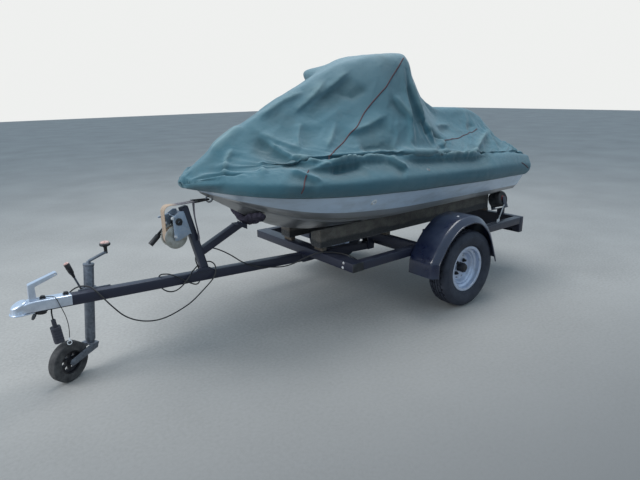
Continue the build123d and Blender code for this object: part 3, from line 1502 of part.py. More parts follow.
def cord(route, diameter, name):
    """Cord along straight runs joined by tangent arcs, written under its name."""
    points = [Vector(ahead(x), y, z) for x, y, z in route]
    radii = bend_radii(points)
    with BuildPart() as piece:
        with BuildLine() as path:
            FilletPolyline(*points, radius=radii)
        with BuildSketch(Plane(origin=points[0], z_dir=points[1] - points[0])):
            Circle(diameter / 2)
        sweep(path=path.line)
    keep(piece, name)
    length = path.wire().length
    share = piece.part.volume / (math.pi * diameter**2 / 4 * length)
    print(name, "length", round(length), "volume share", round(share, 3))
    print(name, "bend radii", [round(r) for r in radii])


# Wiring cable, from the plug over the drawbar, in a sag to the post, twice round the bar and post,
# and on over the front member to the port rail. Columns: ahead of the axle, Y, Z
cable_diameter = 7
wiring_route = (
    plug_top,
    (2238.862, 18, 353.3),
    (2236, 3, 374),
    (2228, -17, 381),
    (2208, -40, 381.5),
    (2178, -51, 395),
    (2146, -47, 420),
    (2112, -36, 446),
    (2081, -15, 454),
    (2054, 13, 449),
    (2036, 37, 427),
    (2017, 46, 398),
    (1997, 53, 366),
    (1970, 61, 328),
    (1938, 67, 286),
    (1894, 71, 252),
    (1838, 73, 226),
    (1772, 72, 212),
    (1704, 68, 216),
    (1642, 62, 231),
    (1590, 57, 247),
    (1549, 53, 268),
    (1509, 49, 294),
    (1472, 46, 319),
    (1438, 44, 345),
    (1415, 42, 372),
    (1408, 35, 398),
    (1404, 19, 417),
    (1408, 0, 427),
    (1416, -18, 431),
    (1430, -33, 428),
    (1450, -40, 424),
    (1475, -38, 418),
    (1499, -25, 411),
    (1521, -3, 408),
    (1541, 18, 409),
    (1554, 35, 401),
    (1572, 40, 385),
    (1594, 40, 364),
    (1617, 34, 342),
    (1640, 21, 325),
    (1664, 5, 319),
    (1687, -14, 327),
    (1702, -32, 346),
    (1707, -42, 371),
    (1706, -40, 398),
    (1699, -23, 418),
    (1688, 3, 425),
    (1672, 24, 427),
    (1652, 37, 418),
    (1630, 41, 403),
    (1607, 40, 386),
    (1583, 40, 368),
    (1558, 38, 351),
    (1533, 30, 337),
    (1511, 13, 330),
    (1492, -8, 331),
    (1478, -29, 341),
    (1471, -42, 361),
    (1471, -46, 388),
    (1478, -44, 413),
    (1488, -39, 437),
    (1492, -34, 461),
    (1486, -32, 484),
    (1468, -31, 501),
    (1444, -30, 510),
    (1418, -25, 510),
    (1392, -16, 504),
    (1364, -6, 492),
    (1334, 3, 474),
    (1304, 10, 453),
    (1276, 17, 431),
    (1252, 24, 409),
    (1224, 31, 390),
    (1190, 34, 373),
    (1150, 35, 356),
    (1104, 36, 341),
    (1054, 38, 329),
    (1006, 45, 320),
    (966, 71, 324),
    (930, 110, 345),
    (893, 151, 376),
    (858, 189, 402),
    (822, 218, 416),
    (782, 250, 416),
    (750, 293, 416),
    (733, 340, 415),
    (723, 385, 408),
    (711, 412, 396),
    (705, 430, 388),
    (705, frame_half - rail_size, 388),
)
cord(wiring_route, cable_diameter, "wiring_cable")

# Breakaway cable, from the coupling's handle over its side, hanging free
breakaway_diameter = 3.5
breakaway_route = (
    (2287, 2, 449),
    (2268, 3, 448.5),
    (2245, 8, 449),
    (2226, 20, 449),
    (2213, 34, 444),
    (2208, 41, 424),
    (2201, 42, 399),
    (2193, 42, 372),
    (2186, 42, 344),
    (2182, 42, 314),
    (2181, 42, 284),
    (2183, 43, 254),
    (2187, 44, 225),
)
cord(breakaway_route, breakaway_diameter, "breakaway_cable")
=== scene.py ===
import bpy
import bmesh
import math

import numpy as np
from mathutils import Matrix, Vector, noise


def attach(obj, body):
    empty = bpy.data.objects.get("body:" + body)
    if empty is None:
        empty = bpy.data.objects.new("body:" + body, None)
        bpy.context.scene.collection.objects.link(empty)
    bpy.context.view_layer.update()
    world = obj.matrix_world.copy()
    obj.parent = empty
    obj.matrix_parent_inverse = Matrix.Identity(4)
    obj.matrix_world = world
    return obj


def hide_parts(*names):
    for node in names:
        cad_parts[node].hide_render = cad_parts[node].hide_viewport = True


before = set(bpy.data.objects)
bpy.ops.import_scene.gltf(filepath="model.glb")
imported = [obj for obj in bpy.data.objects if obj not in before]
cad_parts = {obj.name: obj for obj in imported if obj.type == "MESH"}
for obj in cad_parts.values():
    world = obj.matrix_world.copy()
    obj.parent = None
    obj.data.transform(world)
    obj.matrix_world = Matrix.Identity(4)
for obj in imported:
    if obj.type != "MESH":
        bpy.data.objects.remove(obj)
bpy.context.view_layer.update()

# The photograph's viewpoint: standing at the trailer's port front quarter, at head height,
# looking a little down on the coupling, with the covered craft behind it.
view_place = Vector((1.8966, 2.5233, 1.3326))
view_yaw = -2.23446
view_pitch = 0.28003
view_roll = -0.01663
view_focal_px = 519.88
photo_width_px = 640

forward = Vector(
    (
        math.cos(view_yaw) * math.cos(view_pitch),
        math.sin(view_yaw) * math.cos(view_pitch),
        -math.sin(view_pitch),
    )
)
level_right = Vector((math.sin(view_yaw), -math.cos(view_yaw), 0))
level_up = level_right.cross(forward)
right = level_right * math.cos(view_roll) + level_up * math.sin(view_roll)
up = level_up * math.cos(view_roll) - level_right * math.sin(view_roll)
camera_data = bpy.data.cameras.new("camera")
camera_data.sensor_width = 36
camera_data.lens = camera_data.sensor_width * view_focal_px / photo_width_px
camera = bpy.data.objects.new("camera", camera_data)
bpy.context.collection.objects.link(camera)
camera.matrix_world = Matrix.Translation(view_place) @ Matrix((right, up, -forward)).transposed().to_4x4()
bpy.context.scene.camera = camera
bpy.context.scene.view_settings.view_transform = "Standard"


# Shader nodes for every finish below: procedural, on each object's own coordinates. A signal is what
# one node gives, and sums on it add Math nodes.
class Signal:
    """What one shader node gives, used in sums."""

    def __init__(self, finish, socket):
        self.finish = finish
        self.socket = socket

    def sum(self, operation, first, second):
        return self.finish.node("ShaderNodeMath", {"operation": operation}, {0: first, 1: second})

    def __add__(self, other):
        return self.sum("ADD", self, other)

    __radd__ = __add__

    def __mul__(self, other):
        return self.sum("MULTIPLY", self, other)

    __rmul__ = __mul__


class Finish:
    """A material with its own shader nodes."""

    def __init__(self, name, **constants):
        self.material = bpy.data.materials.new(name)
        self.material.use_nodes = True
        self.tree = self.material.node_tree
        self.shader = self.tree.nodes["Principled BSDF"]
        self.place = self.node("ShaderNodeTexCoord", out="Object")
        for socket, value in constants.items():
            self.join(value, self.shader.inputs[socket.replace("_", " ").title().replace("Ior", "IOR")])

    def join(self, value, socket):
        if isinstance(value, Signal):
            self.tree.links.new(value.socket, socket)
        elif isinstance(value, tuple) and socket.type == "RGBA":
            socket.default_value = (*value, 1)
        else:
            socket.default_value = value

    def node(self, kind, settings=None, sockets=None, out=0):
        """One shader node: its settings first, then the values or links of its sockets."""
        made = self.tree.nodes.new(kind)
        for name, value in (settings or {}).items():
            setattr(made, name, value)
        for name, value in (sockets or {}).items():
            self.join(value, made.inputs[name])
        return Signal(self, made.outputs[out])

    def noise(self, scale, detail=4.0, roughness=0.55, distortion=0.0, place=None):
        sockets = {"Scale": scale, "Detail": detail, "Roughness": roughness, "Distortion": distortion}
        return self.node("ShaderNodeTexNoise", None, {"Vector": place or self.place, **sockets})

    def axis(self, name):
        """The object's coordinate along X, Y or Z."""
        return self.node("ShaderNodeSeparateXYZ", None, {0: self.place}, name)

    def waves(self, axis, scale, distortion=0.0):
        """Even bands across this axis."""
        settings = {"wave_type": "BANDS", "bands_direction": axis}
        sockets = {"Vector": self.place, "Scale": scale, "Distortion": distortion}
        return self.node("ShaderNodeTexWave", settings, sockets)

    def painted(self, name):
        """A number that the mesh carries at each of its points."""
        return self.node("ShaderNodeAttribute", {"attribute_name": name}, {}, "Fac")

    def stretched(self, scale):
        """The object's coordinates, with each axis scaled."""
        return self.node("ShaderNodeMapping", None, {"Vector": self.place, "Scale": scale})

    def share(self, signal, low, high):
        """0 where the signal is under low and 1 where it is over high."""
        return self.node("ShaderNodeMapRange", None, {"Value": signal, "From Min": low, "From Max": high})

    def mixed(self, share, first, second):
        return self.node("ShaderNodeMix", {"data_type": "RGBA"}, {0: share, 6: first, 7: second}, 2)

    def facing_up(self):
        """1 on faces that look up and 0 on the rest."""
        normal = self.node("ShaderNodeNewGeometry", out="Normal")
        return self.share(self.node("ShaderNodeSeparateXYZ", None, {0: normal}, "Z"), 0.5, 0.95)

    def apply(self, colour=None, roughness=None, relief=None, depth=0.001):
        """Join what changes over the surface to the shader. Relief is a height, depth its metres."""
        for value, socket in ((colour, "Base Color"), (roughness, "Roughness")):
            if value is not None:
                self.join(value, self.shader.inputs[socket])
        if relief is not None:
            sockets = {"Height": relief, "Distance": depth, "Strength": 1.0}
            self.join(self.node("ShaderNodeBump", None, sockets), self.shader.inputs["Normal"])


def worn(name, wear, span, tones, rough=None, relief=None, depth=0.001, **constants):
    """Finish that goes from its first tone to its second where the noise of its wear passes the span."""
    finish = Finish(name, **constants)
    share = finish.share(finish.noise(*wear), *span)
    finish.apply(
        colour=finish.mixed(share, *tones),
        roughness=rough[0] + share * rough[1] if rough else None,
        relief=finish.noise(*relief) if relief else None,
        depth=depth,
    )
    return finish


# Studio: a concrete-grey floor that darkens towards the camera, a pale backdrop that only the
# camera sees, blue light from the sky and two big soft lamps.
floor_finish = Finish("floor_concrete", roughness=0.8)
floor_tone = floor_finish.noise(1.2, 5) * 0.5 + floor_finish.noise(60, 3) * 0.5
floor_near = floor_finish.share(floor_finish.axis("X") * 0.35 + floor_finish.axis("Y") * 0.9 + floor_tone, 0.9, 2.4)
floor_spots = floor_finish.share(floor_tone, 0.35, 0.65)
floor_grey = floor_finish.mixed(floor_spots, (0.25, 0.245, 0.232), (0.34, 0.332, 0.315))
floor_finish.apply(
    colour=floor_finish.mixed(floor_near * 0.75, floor_grey, (0.12, 0.122, 0.122)),
    relief=floor_tone,
    depth=0.002,
)
bpy.ops.mesh.primitive_plane_add(size=60)
floor = bpy.context.object
floor.name = "floor"
floor.data.materials.append(floor_finish.material)

world = bpy.data.worlds.new("sky")
bpy.context.scene.world = world
world.use_nodes = True
sky_nodes = world.node_tree
sky = sky_nodes.nodes["Background"]
sky.inputs["Color"].default_value = (0.64, 0.82, 1.0, 1)
sky.inputs["Strength"].default_value = 0.8
backdrop = sky_nodes.nodes.new("ShaderNodeBackground")
backdrop.inputs["Color"].default_value = (0.86, 0.87, 0.86, 1)
backdrop.inputs["Strength"].default_value = 1.0
rays = sky_nodes.nodes.new("ShaderNodeLightPath")
either = sky_nodes.nodes.new("ShaderNodeMixShader")
sky_nodes.links.new(rays.outputs["Is Camera Ray"], either.inputs[0])
sky_nodes.links.new(sky.outputs[0], either.inputs[1])
sky_nodes.links.new(backdrop.outputs[0], either.inputs[2])
sky_nodes.links.new(either.outputs[0], sky_nodes.nodes["World Output"].inputs["Surface"])

# Columns: name, place, what it is aimed at, size and power
for lamp_name, lamp_place, lamp_aim, lamp_size, lamp_power in (
    ("lamp_above", (-1.2, -0.6, 5.5), (0, 0, 0.5), 3.5, 230),
    ("lamp_left", (5.5, -0.6, 3.4), (0, 0, 0.6), 2.6, 190),
):
    lamp_data = bpy.data.lights.new(lamp_name, "AREA")
    lamp_data.size = lamp_size
    lamp_data.energy = lamp_power
    lamp = bpy.data.objects.new(lamp_name, lamp_data)
    lamp.location = lamp_place
    lamp.rotation_euler = (Vector(lamp_aim) - Vector(lamp_place)).to_track_quat("-Z", "Y").to_euler()
    bpy.context.collection.objects.link(lamp)


# Making pieces: places from the axle, mesh clean-up, easing of edges, and the last step that gives
# each piece its finish and its body and hides the CAD nodes it stands for.
axle_x = -0.727


def ahead(distance):
    """X of a place this many millimetres ahead of the road wheels' axle."""
    return axle_x + distance / 1000


def place(x, y, z):
    """Point from millimetres ahead of the axle, to port and above the ground."""
    return Vector((ahead(x), y / 1000, z / 1000))


def active(piece):
    """Select only this piece."""
    bpy.ops.object.select_all(action="DESELECT")
    bpy.context.view_layer.objects.active = piece
    piece.select_set(True)


def mended(piece, weld=0, ends=False):
    """Close a mesh's open ends and weld its points where asked, then turn all its faces outwards."""
    active(piece)
    bpy.ops.object.mode_set(mode="EDIT")
    if ends:
        bpy.ops.mesh.select_all(action="DESELECT")
        bpy.ops.mesh.select_non_manifold()
        bpy.ops.mesh.edge_face_add()
    bpy.ops.mesh.select_all(action="SELECT")
    if weld:
        bpy.ops.mesh.remove_doubles(threshold=weld)
    bpy.ops.mesh.normals_make_consistent(inside=False)
    bpy.ops.object.mode_set(mode="OBJECT")
    return piece


def changed(piece, name, kind, **settings):
    """Apply one modifier with these settings."""
    modifier = piece.modifiers.new(name, kind)
    for setting, value in settings.items():
        setattr(modifier, setting, value)
    active(piece)
    bpy.ops.object.modifier_apply(modifier=name)
    return piece


def finished(piece, finish, body, nodes=()):
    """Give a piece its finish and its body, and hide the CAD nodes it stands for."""
    piece.data.materials.clear()
    piece.data.materials.append(finish.material)
    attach(piece, body)
    if nodes:
        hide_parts(*nodes)
    return piece


# Wiring cable of the seven-pin plug: 7 mm black rubber, from the port rail along the drawbar,
# looped round the winch post and the bar, in a sag to the coupling and over it to its plug.
def cord_curve(name, route, diameter):
    """Open curve of the cord's diameter along its route."""
    data = bpy.data.curves.new(name, "CURVE")
    data.dimensions = "3D"
    data.resolution_u = 6
    data.bevel_depth = diameter / 2
    data.bevel_resolution = 4
    data.use_fill_caps = True
    spline = data.splines.new("NURBS")
    spline.points.add(len(route) - 1)
    for point, at in zip(spline.points, route):
        point.co = (*place(*at), 1)
    spline.order_u = 3
    spline.use_endpoint_u = True
    piece = bpy.data.objects.new(name, data)
    bpy.context.collection.objects.link(piece)
    return piece


cable_rubber = worn(
    "cable_rubber",
    wear=(9, 4),
    span=(0.45, 0.7),
    tones=((0.012, 0.012, 0.014), (0.045, 0.044, 0.042)),
    rough=(0.42, 0.2),
    relief=(220, 2),
    depth=0.0002,
    specular_ior_level=0.4,
)

wiring_route = (
    (705, 446, 388),
    (705, 430, 388),
    (711, 412, 396),
    (723, 385, 408),
    (733, 340, 415),
    (750, 293, 416),
    (782, 250, 416),
    (822, 218, 416),
    (858, 189, 402),
    (893, 151, 376),
    (930, 110, 345),
    (966, 71, 324),
    (1006, 45, 320),
    (1054, 38, 329),
    (1104, 36, 341),
    (1150, 35, 356),
    (1190, 34, 373),
    (1224, 31, 390),
    (1252, 24, 409),
    (1276, 17, 431),
    (1304, 10, 453),
    (1334, 3, 474),
    (1364, -6, 492),
    (1392, -16, 504),
    (1418, -25, 510),
    (1444, -30, 510),
    (1468, -31, 501),
    (1486, -32, 484),
    (1492, -34, 461),
    (1488, -39, 437),
    (1478, -44, 413),
    (1471, -46, 388),
    (1471, -42, 361),
    (1478, -29, 341),
    (1492, -8, 331),
    (1511, 13, 330),
    (1533, 30, 337),
    (1558, 38, 351),
    (1583, 40, 368),
    (1607, 40, 386),
    (1630, 41, 403),
    (1652, 37, 418),
    (1672, 24, 427),
    (1688, 3, 425),
    (1699, -23, 418),
    (1706, -40, 398),
    (1707, -42, 371),
    (1702, -32, 346),
    (1687, -14, 327),
    (1664, 5, 319),
    (1640, 21, 325),
    (1617, 34, 342),
    (1594, 40, 364),
    (1572, 40, 385),
    (1554, 35, 401),
    (1541, 18, 409),
    (1521, -3, 408),
    (1499, -25, 411),
    (1475, -38, 418),
    (1450, -40, 424),
    (1430, -33, 428),
    (1416, -18, 431),
    (1408, 0, 427),
    (1404, 19, 417),
    (1408, 35, 398),
    (1415, 42, 372),
    (1438, 44, 345),
    (1472, 46, 319),
    (1509, 49, 294),
    (1549, 53, 268),
    (1590, 57, 247),
    (1642, 62, 231),
    (1704, 68, 216),
    (1772, 72, 212),
    (1838, 73, 226),
    (1894, 71, 252),
    (1938, 67, 286),
    (1970, 61, 328),
    (1997, 53, 366),
    (2017, 46, 398),
    (2036, 37, 427),
    (2054, 13, 449),
    (2081, -15, 454),
    (2112, -36, 446),
    (2146, -47, 420),
    (2178, -51, 395),
    (2208, -40, 381.5),
    (2228, -17, 381),
    (2236, 3, 374),
    (2238.862, 18, 353.3),
    (2237, 18, 334),
)
wiring = cord_curve("wiring", wiring_route, 0.007)
finished(wiring, cable_rubber, "frame", ["wiring_cable"])
place(*wiring_route[0])

# Breakaway cable: 3.5 mm plastic-covered steel, clipped to the coupling's handle, hanging over
# its side with a crimped ring at the end that would go round the car's towball.
breakaway_route = (
    (2287, 2, 449),
    (2268, 3, 448.5),
    (2245, 8, 449),
    (2226, 20, 449),
    (2213, 34, 444),
    (2208, 41, 424),
    (2201, 42, 399),
    (2193, 42, 372),
    (2186, 42, 344),
    (2182, 42, 314),
    (2181, 42, 284),
    (2183, 43, 254),
    (2187, 44, 225),
)
breakaway = cord_curve("breakaway", breakaway_route, 0.0035)
finished(breakaway, cable_rubber, "frame", ["breakaway_cable"])
bpy.ops.mesh.primitive_torus_add(
    location=place(2188.5, 44.5, 213),
    rotation=(math.pi / 2, 0, 0),
    major_radius=0.010,
    minor_radius=0.0018,
    major_segments=36,
    minor_segments=12,
)
cable_ring = bpy.context.object
bpy.ops.mesh.primitive_cylinder_add(vertices=20, radius=0.0034, depth=0.016, location=place(2187.3, 44.1, 229))
bpy.context.object.name = "crimp"
cable_ring.select_set(True)
bpy.context.view_layer.objects.active = cable_ring
bpy.ops.object.join()
cable_ring.name = "cable_ring"
bpy.ops.object.transform_apply(location=True, rotation=True, scale=True)
bpy.ops.object.shade_smooth_by_angle(angle=math.radians(40))
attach(cable_ring, "frame")
place(*breakaway_route[0])

# The fitted cover: teal woven canvas, hooked under the gunwale by an elastic hem, tight over the
# deck's edge and slack over the handlebars and the seat, where it hangs in soft folds.

# Columns: ahead of the axle, keel height, then half widths and heights of chine, band and gunwale
hull_stations = (
    (-870, 480, 400, 612, 425, 640, 480, 735),
    (-300, 480, 420, 618.6, 448, 650, 520, 752),
    (300, 480, 425, 620.2, 450, 658, 525, 772),
    (700, 500, 405, 640, 440, 680, 515, 792),
    (950, 552, 345, 672, 405, 706, 488, 808),
    (1150, 640, 250, 722, 330, 745, 440, 824),
    (1300, 728, 130, 770, 215, 785, 345, 838),
    (1400, 790, 40, 808, 100, 815, 215, 848),
    (1450, 822, 10, 828, 30, 832, 90, 852),
)
# Columns: ahead of the axle, then half widths and heights of hem, edge, shoulder, flank and ridge
cover_stations = (
    (-950, 300, 770, 330, 800, 320, 845, 240, 860, 150, 864),
    (-870, 486, 735, 530, 800, 480, 885, 305, 955, 150, 1040),
    (-800, 491, 737, 538, 808, 480, 905, 285, 1005, 145, 1112),
    (-720, 496, 740, 545, 815, 480, 920, 245, 1085, 145, 1158),
    (-600, 505, 743, 555, 825, 480, 930, 215, 1110, 130, 1195),
    (-300, 526, 752, 572, 838, 475, 948, 225, 1110, 120, 1205),
    (-150, 527, 757, 575, 845, 468, 955, 235, 1160, 125, 1265),
    (60, 529, 764, 577, 850, 462, 962, 300, 1285, 198, 1445),
    (170, 530, 768, 577, 855, 456, 968, 335, 1350, 248, 1545),
    (300, 531, 772, 576, 860, 450, 980, 330, 1320, 195, 1535),
    (500, 526, 782, 572, 866, 438, 998, 290, 1240, 80, 1490),
    (700, 521, 792, 564, 872, 415, 1008, 245, 1190, 45, 1400),
    (950, 494, 808, 538, 882, 372, 1010, 200, 1135, 40, 1275),
    (1150, 446, 824, 488, 892, 322, 992, 170, 1085, 40, 1172),
    (1300, 351, 838, 392, 896, 255, 965, 140, 1025, 40, 1080),
    (1400, 221, 848, 275, 894, 190, 942, 110, 980, 35, 1012),
    (1450, 96, 852, 215, 892, 150, 930, 90, 960, 30, 978),
    (1545, 20, 872, 60, 884, 50, 898, 30, 904, 10, 907),
)


def shared_slope(slope, rise):
    """Slope at a row between two spans: level where they turn, else nearer the gentler one."""
    return 0 if slope * rise <= 0 else 2 * slope * rise / (slope + rise)


def smooth_between(table, distance):
    """The table's columns this far ahead of the axle, on a curve through its rows that never overshoots."""
    for index in range(len(table) - 1):
        if table[index][0] <= distance <= table[index + 1][0]:
            break
    near, far = table[index], table[index + 1]
    gap = far[0] - near[0]
    share = (distance - near[0]) / gap
    columns = []
    for column in range(1, len(near)):
        rise = (far[column] - near[column]) / gap
        before = rise
        after = rise
        if index > 0:
            last = table[index - 1]
            before = shared_slope((near[column] - last[column]) / (near[0] - last[0]), rise)
        if index + 2 < len(table):
            next_row = table[index + 2]
            after = shared_slope((next_row[column] - far[column]) / (next_row[0] - far[0]), rise)
        start = 2 * share**3 - 3 * share**2 + 1
        start_slope = share**3 - 2 * share**2 + share
        end = 3 * share**2 - 2 * share**3
        end_slope = share**3 - share**2
        columns.append(
            start * near[column] + start_slope * gap * before + end * far[column] + end_slope * gap * after
        )
    return columns


def rounded_line(points, count, easing=0.35):
    """This many points along a line whose inner corners are cut with short curves."""
    corners = [Vector(point) for point in points]
    corner_steps = 6
    dense = [corners[0]]
    for before, corner, after in zip(corners, corners[1:], corners[2:]):
        start = corner.lerp(before, easing)
        end = corner.lerp(after, easing)
        for step in range(corner_steps + 1):
            share = step / corner_steps
            dense.append(start.lerp(corner, share).lerp(corner.lerp(end, share), share))
    dense.append(corners[-1])
    lengths = [0]
    for near, far in zip(dense, dense[1:]):
        lengths.append(lengths[-1] + (far - near).length)
    spaced = []
    index = 0
    for step in range(count):
        wanted = lengths[-1] * step / (count - 1)
        while index < len(lengths) - 2 and lengths[index + 1] < wanted:
            index += 1
        part = (wanted - lengths[index]) / max(lengths[index + 1] - lengths[index], 1e-9)
        spaced.append(dense[index].lerp(dense[index + 1], part))
    return spaced


def ring_mesh(name, rings, closed=False):
    """Mesh of quads between rings that all have as many points."""
    count = len(rings[0])
    faces = []
    for near in range(0, (len(rings) - 1) * count, count):
        far = near + count
        for step in range(count if closed else count - 1):
            after = (step + 1) % count
            faces.append((near + step, near + after, far + after, far + step))
    data = bpy.data.meshes.new(name)
    data.from_pydata([tuple(point) for ring in rings for point in ring], [], faces)
    piece = bpy.data.objects.new(name, data)
    bpy.context.collection.objects.link(piece)
    return piece


cover_columns = 125
cover_step = 16
cover_tail = cover_stations[0][0]
cover_nose = cover_stations[-1][0]
nose_tip = place(cover_nose + 6, 0, 884)
tail_hang = 0.004


def cover_rings(half_of):
    """Rings of the cover from port hem to starboard hem, from its tail to its nose."""
    rings = []
    for station in range(cover_tail, cover_nose + 2, cover_step):
        distance = min(station, cover_nose)
        half = half_of(smooth_between(cover_stations, distance))
        outline = [*half, (0, half[-1][1] + 2), *[(-y, z) for y, z in reversed(half)]]
        line = rounded_line([(0, y, z) for y, z in outline], cover_columns)
        rings.append([place(distance, point.y, point.z) for point in line])
    # The tail hangs straight down to its hem, and the nose comes together round the bow
    hem_height = rings[0][0].z
    last_ring = rings[0]
    for share in (0.5, 1):
        drops = [(hem_height - point.z) * share for point in last_ring]
        hanging = [Vector((point.x - tail_hang, point.y, point.z + drop)) for point, drop in zip(last_ring, drops)]
        rings.insert(0, hanging)
    rings += [[point.lerp(nose_tip, share) for point in rings[-1]] for share in (0.45, 0.97)]
    return rings


def cover_half(columns):
    """Hem, edge band, the tuck where the slack cloth starts, and the drape over it."""
    hem_y, hem_z, edge_y, edge_z, shoulder_y, shoulder_z, flank_y, flank_z, ridge_y, ridge_z = columns
    slack = min(1, max(0, (shoulder_z - edge_z - 50) / 60))
    return [
        (hem_y - 6, hem_z - 4),
        (hem_y + 4, hem_z - 12),
        ((hem_y + edge_y) / 2 + 14, (hem_z + edge_z) / 2 - 10),
        (edge_y, edge_z),
        (edge_y + (shoulder_y - edge_y) * 0.55, edge_z + (shoulder_z - edge_z) * 0.62),
        (shoulder_y - 6 * slack, shoulder_z - 14 * slack),
        (shoulder_y + 6 * slack, shoulder_z + 16 * slack),
        (flank_y, flank_z),
        (ridge_y, ridge_z),
    ]


def form_half(columns):
    """The craft's deck, handlebars and seat under the cover, slimmer than it where the cloth hangs free."""
    hem_y, hem_z, edge_y, edge_z, shoulder_y, shoulder_z, flank_y, flank_z, ridge_y, ridge_z = columns
    return [
        (hem_y - 30, hem_z),
        (edge_y - 10, edge_z - 4),
        (shoulder_y - 10, shoulder_z - 30),
        (flank_y * 0.8, flank_z - 24),
        (ridge_y, ridge_z - 4),
    ]


canvas_sheet = mended(ring_mesh("canvas_sheet", cover_rings(cover_half)), weld=0.0005)
deck_form = mended(ring_mesh("deck_form", cover_rings(form_half)))
deck_form.modifiers.new("Collision", "COLLISION")
deck_form.collision.thickness_outer = 0.003
deck_form.collision.cloth_friction = 12
# The cloth is held up to the tuck, and loose by the height of the shoulder
held = canvas_sheet.vertex_groups.new(name="held")
for vertex in canvas_sheet.data.vertices:
    distance = min(max((vertex.co.x - axle_x) * 1000, cover_tail), cover_nose)
    columns = smooth_between(cover_stations, distance)
    edge_z = columns[3] / 1000
    half_rise = 0.5 * (columns[5] / 1000 - edge_z)
    loose = (vertex.co.z - edge_z - half_rise) / max(half_rise, 0.01)
    held.add([vertex.index], 1 - min(1, max(0, loose)), "REPLACE")
cloth = canvas_sheet.modifiers.new("Cloth", "CLOTH")
canvas_settings = {
    "vertex_group_mass": "held",
    "quality": 6,
    "mass": 0.4,
    "tension_stiffness": 20,
    "compression_stiffness": 20,
    "shear_stiffness": 8,
    "bending_stiffness": 0.25,
    "shrink_min": -0.045,
    "pin_stiffness": 2,
}
for setting, value in canvas_settings.items():
    setattr(cloth.settings, setting, value)
cloth.collision_settings.distance_min = 0.004
cloth.collision_settings.collision_quality = 2
settling_frames = 40
cloth.point_cache.frame_end = settling_frames
for step in range(1, settling_frames + 1):
    bpy.context.scene.frame_set(step)
active(canvas_sheet)
bpy.ops.object.modifier_apply(modifier="Cloth")
bpy.data.objects.remove(deck_form)
bpy.context.scene.frame_set(1)
changed(canvas_sheet, "Finer", "SUBSURF", levels=1, render_levels=1)

# Folds that the cloth keeps from being rolled up and pulled on. Columns: how far the fold stands
# out, its half width, how deep it tucks in below, and its line in millimetres
cover_folds = (
    (20, 34, 22, ((1135, 110, 1140), (1106, 217, 1070), (1058, 318, 1018), (994, 394, 982), (922, 415, 972))),
    (16, 26, 24, ((922, 415, 975), (858, 439, 967), (770, 440, 976), (714, 437, 986))),
    (14, 45, 0, ((1178, 8, 1156), (1290, 24, 1087), (1394, 18, 1017))),
    (13, 36, 8, ((1130, 113, 1132), (1050, 219, 1087), (986, 302, 1050))),
    (15, 30, 6, ((1290, 91, 1058), (1354, 124, 1001), (1410, 204, 927))),
    (14, 30, 10, ((1138, 387, 955), (1090, 441, 930), (1018, 508, 895))),
    (-18, 34, 0, ((674, 396, 1031), (522, 413, 1034), (394, 438, 1003))),
    (18, 30, 22, ((1058, 418, 951), (890, 441, 963), (682, 441, 985), (474, 468, 967))),
    (24, 32, 26, ((474, 468, 967), (226, 471, 957), (0, 484, 941), (-206, 494, 928), (-420, 480, 930))),
    (18, 26, 16, ((520, 455, 972), (466, 509, 927), (426, 532, 904))),
    (17, 24, 10, ((306, 329, 1318), (258, 373, 1207), (210, 396, 1149))),
    (
        18,
        26,
        12,
        ((170, 280, 1450), (170, 327, 1364), (138, 359, 1265), (98, 388, 1170), (50, 410, 1097), (66, 450, 993)),
    ),
    (16, 20, 12, ((98, 364, 1239), (58, 394, 1144), (74, 433, 1040))),
    (-26, 30, 0, ((2, 385, 1129), (-38, 400, 1090), (-78, 405, 1054))),
    (17, 22, 10, ((-70, 400, 1080), (-38, 415, 1050), (10, 463, 960))),
    (18, 28, 14, ((-206, 494, 928), (-300, 460, 955), (-398, 423, 977), (-560, 340, 1015), (-686, 278, 1041))),
    (15, 28, 12, ((-710, 193, 1093), (-694, 271, 1043), (-574, 453, 950))),
    (12, 40, 6, ((794, 66, 1330), (938, 46, 1276), (1106, 47, 1190))),
    (-11, 40, 0, ((634, 139, 1339), (546, 210, 1309), (434, 227, 1361))),
    (13, 34, 8, ((386, 346, 1211), (538, 331, 1156), (682, 314, 1122))),
    (13, 38, 8, ((650, 81, 1393), (754, 106, 1310), (914, 121, 1221))),
    (12, 36, 8, ((498, 118, 1447), (626, 119, 1366), (762, 113, 1299))),
    (12, 30, 8, ((900, 180, 1190), (960, 230, 1120), (1000, 290, 1060))),
    (11, 28, 6, ((700, 250, 1190), (780, 300, 1110), (860, 350, 1050))),
    (12, 26, 8, ((1200, 240, 1010), (1240, 290, 960), (1260, 340, 915))),
    (-12, 30, 0, ((-450, 300, 1060), (-520, 250, 1085), (-600, 235, 1095))),
    (12, 26, 8, ((-120, 320, 1130), (-230, 250, 1120), (-330, 225, 1112))),
    (13, 26, 10, ((-760, 330, 960), (-800, 430, 925), (-830, 480, 895))),
)


